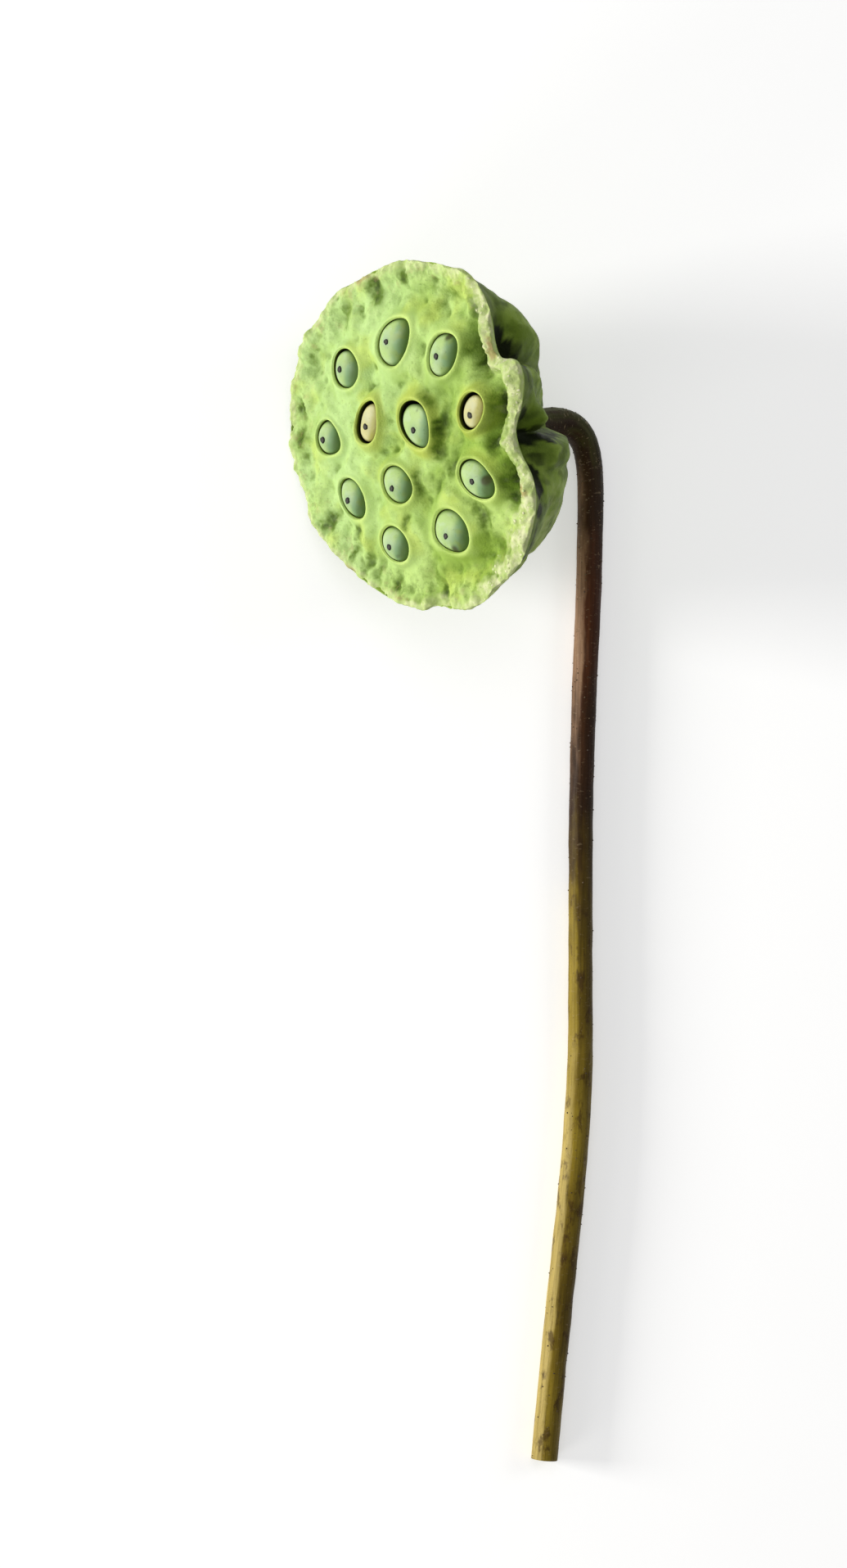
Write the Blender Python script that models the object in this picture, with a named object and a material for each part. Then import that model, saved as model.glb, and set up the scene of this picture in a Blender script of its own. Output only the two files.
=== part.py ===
"""A green lotus pod with its cut stem, lying on a table.

The pod is a receptacle with twelve pits in its face, a loose nut in each pit, and the stem
that it grew on. Lengths here are in millimetres, and new_node() turns them into metres.

Two frames are used. The pod frame has +Z up, +Y from the stem's cut end towards the head, and
its origin on the table under the middle of the face. The head frame has its origin in the
middle of the face, +Z out of the face and +X towards the side of the face that is highest.
"""

import math

import bmesh
import bpy
from mathutils import Matrix, Vector, noise
from mathutils.geometry import delaunay_2d_cdt

MM = 0.001

# How the pod lies. The row frame's origin is the bottom centre of the whole pod's box.
POD_PLACE = (-13.4, 117.5)
FACE_HEIGHT = 41.6
FACE_ELEVATION = math.radians(37.5)
FACE_HEADING = math.radians(188.5)
FACE_ROLL = math.radians(-5.0)

# The rim: angle in degrees from the head's +X, radius, and how far it stands up from the face.
RIM = (
    (0, 38.6, -0.3), (8, 43.4, 0.7), (16, 46.0, 1.4), (22, 45.6, 1.5), (27, 40.3, 0.1),
    (33, 41.2, 0.4), (40, 45.0, 1.0), (48, 47.2, 0.9), (58, 49.0, 0.8), (66, 47.4, 0.4),
    (78, 46.6, 0.1), (90, 46.6, -0.2), (100, 46.0, -0.3), (113, 46.3, -0.5), (122, 47.9, -0.5),
    (135, 47.9, -0.6), (148, 49.6, -0.7), (165, 49.7, -0.7), (180, 49.5, -0.6), (190, 48.6, -0.6),
    (196, 47.9, -0.7), (205, 48.4, -0.5), (218, 46.4, -0.3), (240, 45.4, -0.2), (255, 45.9, 0.1),
    (264, 46.3, 0.5), (269, 46.8, 0.4), (273, 45.9, -0.5), (280, 47.4, 0.3), (290, 50.0, 0.7),
    (305, 50.4, 0.9),
    (317, 51.2, 1.1), (328, 50.4, 1.4), (336, 50.0, 1.4), (343, 46.9, 1.1), (349, 41.0, 0.3),
    (355, 38.4, -0.3),
)

# The face between the pits.
FACE_CROWN = 1.1
SWELL_HEIGHT = 1.3
SWELL_SIZE = 11.0
VALLEY_AT = 0.83
VALLEY_WIDTH = 0.075
BEAD_AT = 0.965
BEAD_WIDTH = 0.035
BEAD_HEIGHT = 0.45
VALLEY_DEPTH = 0.8
DEEP_VALLEY_DEPTH = 1.9
DEEP_VALLEY_ANGLE = 14.0
DEEP_VALLEY_SPREAD = 48.0

# Each pit: place in the head frame, half length and half width of its mouth, the angle of its
# long axis in degrees, how much it narrows towards that axis's end, the height of the mound
# round it, how far its nut stands out of the mouth, and where the nut's tip is from its middle.
PITS = (
    (-2.8, 25.4, 7.0, 5.6, 47, -0.12, 0.5, 1.5, -1.2, 0.3),
    (15.4, 20.5, 6.3, 4.9, 49, 0.05, 0.5, 1.4, -0.6, -0.1),
    (-22.8, 19.8, 5.5, 4.9, 100, 0.0, 0.4, 1.4, -1.5, 0.1),
    (-14.9, 4.5, 5.8, 4.2, 72, -0.12, 1.2, 0.8, -0.9, -0.8),
    (3.8, 3.1, 6.7, 5.2, 122, 0.05, 1.3, 1.0, -0.3, -1.2),
    (25.1, 5.1, 5.4, 4.2, 57, 0.0, 1.2, 0.8, -0.7, -0.9),
    (-32.5, 1.7, 4.9, 4.3, 100, -0.12, 0.4, 1.3, -0.7, -0.6),
    (-25.3, -15.3, 5.8, 4.2, 125, -0.12, 0.5, 1.3, -0.5, -0.7),
    (-5.7, -12.7, 5.9, 4.8, 140, 0.0, 0.8, 1.4, -0.4, -0.9),
    (24.5, -12.8, 7.1, 4.8, 150, 0.0, 0.7, 1.6, -0.2, -0.5),
    (13.3, -26.2, 7.1, 5.3, 144, 0.05, 0.6, 1.6, -0.7, -1.1),
    (-9.1, -28.8, 5.8, 4.4, 141, 0.08, 0.5, 1.4, -0.8, -0.5),
)
LIP_AT = 1.09
LIP_WIDTH = 0.13
LIP_HEIGHT = 0.85
MOUND_REACH = 1.8
PIT_DEPTH = 13.6
# A pit's inside: depth as a share of PIT_DEPTH, and its width as a share of the mouth.
PIT_WALL = ((0.07, 0.99), (0.25, 1.05), (0.5, 1.05), (0.75, 0.9), (0.93, 0.6))

# A nut: its widest level under the mouth, its slack in the pit, and the gap under it.
NUT_WAIST = 1.2
NUT_SLACK = 0.38
NUT_SEAT_GAP = 0.3
NUT_FULLNESS = 2.5
NUT_SHIFT = (0.1, -0.04)
TIP_RADIUS = 0.7
TIP_HEIGHT = 0.35

# The edge of the rim, from the face round to the wall: distance out from the rim, height.
RIM_EDGE = ((0.4, -0.7), (-0.1, -1.6))
BRIM_DEPTH = 2.3
UNDERCUT_DEPTH = 4.6
OVERHANG = 2.7
# Where the rim stands far out over the wall: angle, spread, how much further.
DEEP_OVERHANGS = ((33, 8, 4.0), (347, 9, 4.5))

# The wall under the rim: depth under the face, radius.
WALL = (
    (7.5, 43.2), (11.0, 42.8), (16.5, 40.8), (22.0, 37.0), (27.5, 31.2), (33.0, 24.6),
    (38.0, 17.4), (42.0, 10.6), (46.0, 4.8),
)
WALL_RINGS = (7.5, 10.5, 14.0, 18.0, 22.0, 26.0, 30.0, 34.0, 38.0, 42.0, 46.0)
NECK_DEPTH = 46.0
# Its bulges: angle, spread, height.
BULGES = (
    (15, 13, -9.0), (316, 22, 1.6), (287, 13, 1.5), (255, 14, 1.7), (225, 12, 1.5), (201, 9, 0.2),
    (185, 10, -1.3), (168, 9, 0.2), (138, 13, 2.0), (108, 13, 1.2), (82, 10, 0.6),
)
# Its pleats: angle, spread, depth, and the depths under the face where each starts and ends.
PLEATS = (
    (30, 9.0, 6.8, 2, 46), (40, 13.0, 3.5, 22, 46), (69, 5.0, 2.2, 5, 32), (96, 5.0, 3.2, 2, 40),
    (123, 5.0, 3.0, 4, 34), (153, 5.0, 3.0, 2, 42), (186, 4.5, 2.6, 5, 36), (213, 5.0, 2.8, 2, 40),
    (240, 5.0, 2.8, 4, 34), (270, 5.0, 3.4, 2, 42), (303, 5.0, 3.0, 2, 36), (342, 5.0, 1.6, 4, 30),
    (357, 5.5, 7.0, 2, 46),
)

# The stem's centre line in the pod frame, with its radius.
STEM_ROUTE = (
    (36.0, 5.4, 13.4, 4.5), (39.2, 6.0, 11.2, 4.4), (42.8, 6.5, 9.0, 4.25), (46.4, 6.2, 7.1, 4.1),
    (49.4, 4.6, 5.7, 3.95), (51.6, 1.4, 4.8, 3.8), (52.9, -3.6, 4.1, 3.7), (53.5, -10.0, 3.65, 3.65),
    (53.5, -20.0, 3.5, 3.6), (53.0, -40.0, 3.65, 3.55), (51.8, -67.0, 3.9, 3.45),
    (50.9, -98.0, 4.0, 3.35), (50.7, -122.0, 3.95, 3.35), (50.7, -149.0, 3.9, 3.4),
    (50.6, -169.0, 3.8, 3.5), (49.7, -188.0, 3.8, 3.65), (47.5, -213.0, 3.75, 3.7),
    (44.6, -240.0, 3.7, 3.7), (41.7, -269.0, 3.6, 3.7), (40.5, -281.5, 3.55, 3.7),
)
STEM_JOIN_GAP = 0.3
# The air canals that show at the cut end.
CANAL_COUNT = 7
CANAL_RING = 1.95
CANAL_RADIUS = 0.62
CANAL_DEPTH = 5.0

# How finely the solids are cut into flat faces.
RIM_SIDES = 120
PIT_SIDES = 16
FACE_SPACING = 3.6
NUT_SIDES = 16
NUT_DOME_RINGS = 5
TIP_SIDES = 6
STEM_SIDES = 14
STEM_BEND_STEPS = 3
STEM_RUN_STEPS = 2
CANAL_SIDES = 6


def smooth_step(low, high, value):
    t = min(1.0, max(0.0, (value - low) / (high - low)))
    return t * t * (3.0 - 2.0 * t)


def bell(distance, spread):
    return math.exp(-((distance / spread) ** 2))


def turn_between(a, b):
    """The smaller angle between two directions, in degrees, without its sign."""
    return abs((a - b + 180.0) % 360.0 - 180.0)


def through(before, start, end, after, t):
    """The Catmull-Rom curve from start to end, at t from 0 to 1."""
    return 0.5 * (
        2 * start + (end - before) * t + (2 * before - 5 * start + 4 * end - after) * t * t
        + (3 * start - before - 3 * end + after) * t ** 3
    )


def rim_at(angle, column):
    """The rim's radius (column 1) or lift (column 2) at an angle in degrees."""
    angle %= 360.0
    count = len(RIM)
    last = max(i for i in range(count) if RIM[i][0] <= angle)
    start, end = RIM[last], RIM[(last + 1) % count]
    span = (end[0] - start[0]) % 360.0
    before, after = RIM[last - 1], RIM[(last + 2) % count]
    t = (angle - start[0]) / span
    return through(before[column], start[column], end[column], after[column], t)


def wall_profile(depth):
    """The wall's plain radius at a depth under the face."""
    last = len(WALL) - 2
    i = max([0] + [k for k in range(last + 1) if WALL[k][0] <= depth])
    start, end = WALL[i], WALL[i + 1]
    before, after = WALL[max(0, i - 1)], WALL[min(i + 2, last + 1)]
    t = (depth - start[0]) / (end[0] - start[0])
    return through(before[1], start[1], end[1], after[1], t)


def overhang(angle):
    more = sum(extra * bell(turn_between(angle, at), spread) for at, spread, extra in DEEP_OVERHANGS)
    return OVERHANG + more


def wall_radius(angle, depth):
    """The wall with its bulges and pleats, hung from the rim."""
    middle = math.sin(math.pi * min(1.0, depth / NECK_DEPTH)) ** 0.8
    radius = wall_profile(max(depth, WALL[0][0]))
    radius += middle * sum(high * bell(turn_between(angle, at), wide) for at, wide, high in BULGES)
    for at, wide, deep, start, end in PLEATS:
        along = smooth_step(start, start + 6.0, depth) * (1.0 - smooth_step(end - 8.0, end, depth))
        radius -= deep * along * max(0.0, 1.0 - turn_between(angle, at) / wide) ** 1.5
    hung = rim_at(angle, 1) - overhang(angle)
    blend = smooth_step(UNDERCUT_DEPTH - 1.0, UNDERCUT_DEPTH + 7.5, depth)
    return hung + (radius - hung) * blend


def pit_reach(pit, x, y):
    """How far a point is from a pit's middle: 1 on the edge of the mouth."""
    at_x, at_y, half_length, half_width, angle, taper = pit[:6]
    turn = math.radians(angle)
    along = ((x - at_x) * math.cos(turn) + (y - at_y) * math.sin(turn)) / half_length
    across = ((y - at_y) * math.cos(turn) - (x - at_x) * math.sin(turn)) / half_width
    narrowed = max(0.5, 1.0 + taper * max(-1.2, min(1.2, along)))
    return math.hypot(along, across / narrowed)


def pit_outline(pit, scale, count):
    """Points of the head frame's XY plane round a pit, at a multiple of its mouth's size."""
    at_x, at_y, half_length, half_width, angle, taper = pit[:6]
    turn = math.radians(angle)
    points = []
    for i in range(count):
        a = math.tau * i / count
        along = math.cos(a)
        across = math.sin(a) * (1.0 + taper * max(-1.2, min(1.2, along * scale)))
        along *= scale * half_length
        across *= scale * half_width
        points.append((
            at_x + along * math.cos(turn) - across * math.sin(turn),
            at_y + along * math.sin(turn) + across * math.cos(turn),
        ))
    return points


def ground(x, y):
    """The height of the face without the lips and mounds of its pits."""
    angle = math.degrees(math.atan2(y, x))
    share = math.hypot(x, y) / rim_at(angle, 1)
    deep = DEEP_VALLEY_DEPTH * bell(turn_between(angle, DEEP_VALLEY_ANGLE), DEEP_VALLEY_SPREAD)
    height = FACE_CROWN * (1.0 - share * share)
    height -= (VALLEY_DEPTH + deep) * bell(share - VALLEY_AT, VALLEY_WIDTH)
    height += rim_at(angle, 2) * smooth_step(0.72, 1.0, share)
    height += BEAD_HEIGHT * bell(share - BEAD_AT, BEAD_WIDTH)
    swell = noise.noise(Vector((x, y, 0.0)) / SWELL_SIZE)
    return height + SWELL_HEIGHT * swell


def face_height(x, y):
    height = ground(x, y)
    for pit in PITS:
        reach = pit_reach(pit, x, y)
        if reach < MOUND_REACH + 1.0:
            height += pit[6] * (1.0 - smooth_step(1.0, MOUND_REACH, reach))
            height += LIP_HEIGHT * bell(reach - LIP_AT, LIP_WIDTH)
    return height


def mouth_level(pit):
    return ground(pit[0], pit[1]) + pit[6] + LIP_HEIGHT * bell(1.0 - LIP_AT, LIP_WIDTH)


def ring_edges(ring):
    return [(ring[i - 1], ring[i]) for i in range(len(ring))]


def triangulated(points, rings, keep):
    """Triangles between flat points, along closed rings of edges, where keep(x, y) holds."""
    edges = [edge for ring in rings for edge in ring_edges(ring)]
    flat = [Vector(p) for p in points]
    made, _, faces, sources, _, _ = delaunay_2d_cdt(flat, edges, [], 0, 1e-7)
    triangles = []
    for face in faces:
        middle = sum((made[i] for i in face), Vector((0.0, 0.0))) / len(face)
        if keep(middle.x, middle.y):
            triangles.append(tuple(sources[i][0] for i in face))
    return triangles


def joined_rings(first, second):
    """Quads from one ring of vertex numbers to the next."""
    count = len(first)
    return [
        (first[i - 1], first[i], second[i], second[i - 1]) for i in range(count)
    ]


def numbered(points, more):
    """Adds points to a list and gives their numbers."""
    start = len(points)
    points.extend(more)
    return list(range(start, len(points)))


def inside_face(x, y):
    angle = math.degrees(math.atan2(y, x))
    return math.hypot(x, y) < rim_at(angle, 1)


def around(radius_at, sides, share=1.0):
    """Points round the head's axis, as (x, y), at a share of a radius that depends on the angle."""
    points = []
    for i in range(sides):
        angle = 360.0 * i / sides
        radius = radius_at(angle) * share
        turn = math.radians(angle)
        points.append((radius * math.cos(turn), radius * math.sin(turn)))
    return points


def face_grid():
    """The loose points of the face, on a triangular grid, clear of the pits and the rim."""
    points = []
    rows = int(55.0 / FACE_SPACING)
    for row in range(-rows, rows + 1):
        for column in range(-rows, rows + 1):
            x = (column + 0.5 * (row % 2)) * FACE_SPACING
            y = row * FACE_SPACING * math.sqrt(0.75)
            share = math.hypot(x, y) / rim_at(math.degrees(math.atan2(y, x)), 1)
            if share < 0.86 and all(pit_reach(pit, x, y) > 1.62 for pit in PITS):
                points.append((x, y))
    return points


def new_node(name, points, faces, material, parent):
    """An object made of points in millimetres, its faces turned outwards."""
    mesh = bpy.data.meshes.new(name)
    mesh.from_pydata([Vector(p) * MM for p in points], [], faces)
    form = bmesh.new()
    form.from_mesh(mesh)
    bmesh.ops.recalc_face_normals(form, faces=form.faces)
    bmesh.ops.triangulate(form, faces=form.faces)
    form.to_mesh(mesh)
    form.free()
    node = bpy.data.objects.new(name, mesh)
    bpy.context.scene.collection.objects.link(node)
    node.parent = parent
    mesh.materials.append(material)
    mesh.shade_smooth()
    mesh.set_sharp_from_angle(angle=math.radians(50))
    return node


def new_material(name, colour, roughness):
    material = bpy.data.materials.new(name)
    material.use_nodes = True
    shader = material.node_tree.nodes["Principled BSDF"]
    shader.inputs["Base Color"].default_value = (*colour, 1.0)
    shader.inputs["Roughness"].default_value = roughness
    shader.inputs["Metallic"].default_value = 0.0
    material.diffuse_color = (*colour, 1.0)
    return material


def press_flat(node):
    """Cuts a node off at the table, so that it rests on small flats."""
    to_table = node.matrix_world.inverted()
    form = bmesh.new()
    form.from_mesh(node.data)
    cut = bmesh.ops.bisect_plane(
        form,
        geom=form.verts[:] + form.edges[:] + form.faces[:],
        dist=1e-7,
        plane_co=to_table @ Vector((0.0, 0.0, 0.0)),
        plane_no=to_table.to_3x3() @ Vector((0.0, 0.0, -1.0)),
        clear_outer=True,
    )
    edges = [e for e in cut["geom_cut"] if isinstance(e, bmesh.types.BMEdge)]
    flats = bmesh.ops.holes_fill(form, edges=edges, sides=0)
    bmesh.ops.triangulate(form, faces=flats["faces"])
    bmesh.ops.recalc_face_normals(form, faces=form.faces)
    form.to_mesh(node.data)
    form.free()


def face_with_pits(points, faces):
    """The face, from the rim to the pits' mouths, and the pits. Gives the rim's vertex numbers."""
    rim = numbered(points, around(lambda a: rim_at(a, 1), RIM_SIDES))
    brow = numbered(points, around(lambda a: rim_at(a, 1), RIM_SIDES, 0.955))
    fold = numbered(points, around(lambda a: rim_at(a, 1), RIM_SIDES // 2, 0.9))
    mouths, collars = [], []
    for pit in PITS:
        mouths.append(numbered(points, pit_outline(pit, 1.0, PIT_SIDES)))
        collars.append(numbered(points, pit_outline(pit, LIP_AT, PIT_SIDES)))
        collars.append(numbered(points, pit_outline(pit, 1.4, PIT_SIDES)))
    numbered(points, face_grid())

    def on_face(x, y):
        return inside_face(x, y) and all(pit_reach(pit, x, y) > 0.985 for pit in PITS)

    faces.extend(triangulated(points, [rim, brow, fold, *mouths, *collars], on_face))
    for i, (x, y) in enumerate(points):
        points[i] = (x, y, face_height(x, y))
    for pit, mouth in zip(PITS, mouths):
        add_pit(points, faces, pit, mouth)
    return rim


def add_pit(points, faces, pit, mouth):
    level = mouth_level(pit)
    ring = mouth
    for share, scale in PIT_WALL:
        bottom = level - PIT_DEPTH * share
        outline = pit_outline(pit, scale, PIT_SIDES)
        below = numbered(points, [(x, y, bottom) for x, y in outline])
        faces.extend(joined_rings(ring, below))
        ring = below
    (floor,) = numbered(points, [(pit[0], pit[1], level - PIT_DEPTH)])
    faces.extend((ring[i - 1], ring[i], floor) for i in range(PIT_SIDES))


def rim_ring(out, height):
    """A ring that follows the rim, at a distance outside it and a height over it."""
    ring = []
    for x, y in around(lambda a: rim_at(a, 1) + out, RIM_SIDES):
        lift = rim_at(math.degrees(math.atan2(y, x)), 2)
        ring.append((x, y, lift + height))
    return ring


def wall_ring(depth):
    return [(x, y, -depth) for x, y in around(lambda a: wall_radius(a, depth), RIM_SIDES)]


def brim_ring():
    """The under side of the rim, half way back to the wall."""
    ring = []
    for x, y in around(lambda a: rim_at(a, 1) - 0.5 * overhang(a), RIM_SIDES):
        lift = rim_at(math.degrees(math.atan2(y, x)), 2)
        ring.append((x, y, 0.6 * lift - BRIM_DEPTH))
    return ring


def make_receptacle(head, material):
    points, faces = [], []
    ring = face_with_pits(points, faces)
    rings = [rim_ring(out, height) for out, height in RIM_EDGE]
    rings.append(brim_ring())
    rings.append(wall_ring(UNDERCUT_DEPTH))
    rings.extend(wall_ring(depth) for depth in WALL_RINGS)
    for outline in rings:
        below = numbered(points, outline)
        faces.extend(joined_rings(ring, below))
        ring = below
    faces.append(tuple(ring))
    node = new_node("receptacle", points, faces, material, head)
    bpy.context.view_layer.update()
    press_flat(node)
    return node


def nut_scale(level, top, bottom):
    """A nut's width at a level, as a share of its widest."""
    reach = top + NUT_WAIST if level > -NUT_WAIST else -NUT_WAIST - bottom
    share = min(1.0, abs(level + NUT_WAIST) / abs(reach))
    return max(0.0, 1.0 - share ** NUT_FULLNESS) ** 0.5


def make_nut(number, pit, head, material):
    """A nut in its pit, with the stub of the stigma standing on its tip."""
    half_length, half_width, angle = pit[2:5]
    top = pit[7]
    bottom = -(PIT_DEPTH * PIT_WALL[-1][0] - NUT_SEAT_GAP)
    plain = (0.0, 0.0, half_length, half_width, 0.0, pit[5])
    slack = (half_width - NUT_SLACK) / half_width
    points, faces = [], []
    (foot,) = numbered(points, [(0.0, 0.0, bottom)])
    ring = None
    steps = [bottom + (-NUT_WAIST - bottom) * s for s in (0.08, 0.3, 0.62)]
    steps += [
        -NUT_WAIST + (top + NUT_WAIST) * math.sin(0.5 * math.pi * i / NUT_DOME_RINGS)
        for i in range(NUT_DOME_RINGS)
    ]
    for level in steps:
        outline = pit_outline(plain, slack * nut_scale(level, top, bottom), NUT_SIDES)
        above = numbered(points, [(x, y, level) for x, y in outline])
        if ring is None:
            faces.extend((above[i - 1], foot, above[i]) for i in range(NUT_SIDES))
        else:
            faces.extend(joined_rings(ring, above))
        ring = above
    turn = math.radians(angle)
    tip_x = pit[8] * math.cos(turn) + pit[9] * math.sin(turn)
    tip_y = pit[9] * math.cos(turn) - pit[8] * math.sin(turn)
    tip_levels = ((top - 0.06, 1.25), (top + TIP_HEIGHT, 1.0))
    for level, scale in tip_levels:
        stub = []
        for i in range(NUT_SIDES):
            a = math.tau * i / NUT_SIDES
            radius = TIP_RADIUS * scale
            stub.append((tip_x + radius * math.cos(a), tip_y + radius * math.sin(a), level))
        above = numbered(points, stub)
        faces.extend(joined_rings(ring, above))
        ring = above
    faces.append(tuple(ring))
    node = new_node(f"nut_{number:02d}", points, faces, material, head)
    shift_x, shift_y = NUT_SHIFT
    node.location = Vector((pit[0] + shift_x, pit[1] + shift_y, mouth_level(pit))) * MM
    node.rotation_euler = (0.0, 0.0, turn)
    return node


def stem_stations():
    """Points and radii along the stem's centre line, closer together in the bend."""
    stations = []
    last = len(STEM_ROUTE) - 1
    for i in range(last):
        four = [STEM_ROUTE[min(last, max(0, k))] for k in (i - 1, i, i + 1, i + 2)]
        gap = (Vector(STEM_ROUTE[i + 1][:3]) - Vector(STEM_ROUTE[i][:3])).length
        steps = STEM_BEND_STEPS - 1 if gap < 8.0 else STEM_RUN_STEPS
        for step in range(steps):
            t = step / steps
            stations.append([through(*(p[c] for p in four), t) for c in range(4)])
    stations.append(list(STEM_ROUTE[last]))
    return [(Vector(s[:3]), s[3]) for s in stations]


def canal_points(count):
    """The canals' outlines on the cut end, as rings of (x, y)."""
    rings = []
    for canal in range(CANAL_COUNT):
        place = math.tau * canal / CANAL_COUNT
        ring = []
        for i in range(count):
            a = math.tau * i / count
            ring.append((
                CANAL_RING * math.cos(place) + CANAL_RADIUS * math.cos(a),
                CANAL_RING * math.sin(place) + CANAL_RADIUS * math.sin(a),
            ))
        rings.append(ring)
    return rings


def add_cut_end(points, faces, ring, middle, across, up, along):
    """The stem's cut end, with its canals, on the last ring of the stem."""
    flat = [((p - middle).dot(across), (p - middle).dot(up)) for p in (points[i] for i in ring)]
    canals = canal_points(CANAL_SIDES)
    rings = [list(range(len(ring)))]
    for canal in canals:
        rings.append(numbered(flat, canal))

    def on_end(x, y):
        place = CANAL_COUNT * math.atan2(y, x) / math.tau
        nearest = math.tau * round(place) / CANAL_COUNT
        away = math.hypot(x - CANAL_RING * math.cos(nearest), y - CANAL_RING * math.sin(nearest))
        return away > CANAL_RADIUS * 0.8

    mouth_points = [middle + across * x + up * y for x, y in flat[len(ring):]]
    numbers = ring + numbered(points, mouth_points)
    for triangle in triangulated(flat, rings, on_end):
        faces.append(tuple(numbers[i] for i in triangle))
    for canal in rings[1:]:
        mouth = [numbers[i] for i in canal]
        deep = numbered(points, [points[i] - along * CANAL_DEPTH for i in mouth])
        faces.extend(joined_rings(mouth, deep))
        faces.append(tuple(deep))


def make_stem(pod, neck, neck_axis, material):
    """The stem, swept along its route from the neck to the cut end."""
    stations = stem_stations()
    points, faces = [], []
    ring = None
    across = neck_axis.cross(Vector((0.0, 0.0, 1.0))).normalized()
    for i, (middle, radius) in enumerate(stations):
        before = stations[max(0, i - 1)][0]
        after = stations[min(i + 1, len(stations) - 1)][0]
        along = neck_axis if i == 0 else (after - before).normalized()
        across = (across - along * across.dot(along)).normalized()
        up = along.cross(across)
        if i == 0:
            middle = neck + neck_axis * STEM_JOIN_GAP
        outline = []
        for side in range(STEM_SIDES):
            a = math.tau * side / STEM_SIDES
            outline.append(middle + (across * math.cos(a) + up * math.sin(a)) * radius)
        below = numbered(points, outline)
        if ring is None:
            faces.append(tuple(below))
        else:
            faces.extend(joined_rings(ring, below))
        ring = below
    add_cut_end(points, faces, ring, stations[-1][0], across, up, along)
    node = new_node("stem", points, faces, material, pod)
    bpy.context.view_layer.update()
    press_flat(node)
    return node


def head_rotation():
    """The head frame's axes in the pod frame."""
    out = Vector((
        math.cos(FACE_ELEVATION) * math.cos(FACE_HEADING),
        math.cos(FACE_ELEVATION) * math.sin(FACE_HEADING),
        math.sin(FACE_ELEVATION),
    ))
    level = out.cross(Vector((0.0, 0.0, 1.0))).normalized()
    upward = level.cross(out)
    basis = Matrix((upward, out.cross(upward), out)).transposed()
    return basis @ Matrix.Rotation(FACE_ROLL, 3, "Z")


def new_empty(name, place, parent=None):
    empty = bpy.data.objects.new(name, None)
    bpy.context.scene.collection.objects.link(empty)
    empty.location = Vector(place) * MM
    empty.parent = parent
    return empty


def main():
    for old in list(bpy.data.objects):
        bpy.data.objects.remove(old)
    green = new_material("pod_green", (0.42, 0.60, 0.15), 0.75)
    glaucous = new_material("nut_glaucous", (0.42, 0.55, 0.36), 0.5)
    cream = new_material("nut_cream", (0.65, 0.62, 0.30), 0.5)
    brown = new_material("stem_brown", (0.20, 0.13, 0.06), 0.6)

    pod = new_empty("pod", (*POD_PLACE, 0.0))
    head = new_empty("head", (0.0, 0.0, FACE_HEIGHT), pod)
    rotation = head_rotation()
    head.rotation_euler = rotation.to_euler()
    bpy.context.view_layer.update()

    make_receptacle(head, green)
    unripe = (4, 6)
    for number, pit in enumerate(PITS, start=1):
        make_nut(number, pit, head, cream if number in unripe else glaucous)
    neck_axis = rotation @ Vector((0.0, 0.0, -1.0))
    neck = Vector((0.0, 0.0, FACE_HEIGHT)) + neck_axis * NECK_DEPTH
    make_stem(pod, neck, neck_axis, brown)


main()
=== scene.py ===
"""Looks for a green lotus pod that lies on a table with its cut stem.

Lengths are in millimetres, as in the part's source, and new_piece() turns them into metres. The
pod frame has +Z up and its origin on the table under the middle of the face. The head frame has
its origin in the middle of the face, +Z out of the face and +X towards its highest side.
"""

import math

import bmesh
import bpy
import numpy as np
from mathutils import Matrix, Vector, noise
from mathutils.geometry import delaunay_2d_cdt

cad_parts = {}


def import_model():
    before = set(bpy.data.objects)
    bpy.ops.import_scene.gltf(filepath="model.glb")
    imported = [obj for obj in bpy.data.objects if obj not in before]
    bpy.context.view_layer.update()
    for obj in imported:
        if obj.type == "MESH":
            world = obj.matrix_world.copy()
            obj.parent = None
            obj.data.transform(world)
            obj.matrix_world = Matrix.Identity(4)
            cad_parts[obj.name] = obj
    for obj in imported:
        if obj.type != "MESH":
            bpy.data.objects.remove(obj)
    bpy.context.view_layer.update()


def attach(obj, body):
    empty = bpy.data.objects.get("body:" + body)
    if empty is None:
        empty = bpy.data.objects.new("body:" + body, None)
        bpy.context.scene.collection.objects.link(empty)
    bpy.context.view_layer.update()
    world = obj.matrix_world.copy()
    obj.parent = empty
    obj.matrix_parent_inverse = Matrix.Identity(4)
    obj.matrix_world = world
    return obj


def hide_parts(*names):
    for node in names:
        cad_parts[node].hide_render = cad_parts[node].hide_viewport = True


MM = 0.001

# How the pod lies, and its shape, as in the part's source.
POD_PLACE = (-13.4, 117.5)
FACE_HEIGHT = 41.6
FACE_ELEVATION = math.radians(37.5)
FACE_HEADING = math.radians(188.5)
FACE_ROLL = math.radians(-5.0)

# The rim: angle in degrees from the head's +X, radius, and how far it stands up from the face.
RIM = (
    (0, 38.4, -0.3), (8, 42.5, 0.7), (16, 46.0, 1.4), (22, 45.6, 1.5), (27, 40.0, 0.1),
    (33, 40.5, 0.4), (40, 44.4, 1.0), (48, 47.2, 0.9), (58, 49.0, 0.8), (66, 47.4, 0.4),
    (78, 46.6, 0.1), (90, 46.6, -0.2), (100, 46.0, -0.3), (113, 46.3, -0.5), (122, 47.9, -0.5),
    (135, 47.9, -0.6), (148, 49.6, -0.7), (165, 49.7, -0.7), (180, 49.5, -0.6), (190, 48.6, -0.6),
    (196, 47.9, -0.7), (205, 48.4, -0.5), (218, 46.4, -0.3), (240, 45.4, -0.2), (255, 45.9, 0.1),
    (264, 46.3, 0.5), (269, 46.8, 0.4), (273, 45.9, -0.5), (280, 47.4, 0.3), (290, 50.0, 0.7),
    (305, 50.4, 0.9), (317, 51.2, 1.1), (328, 50.4, 1.4), (336, 49.2, 1.4), (343, 46.1, 1.1),
    (349, 41.0, 0.3), (355, 38.4, -0.3),
)

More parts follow.
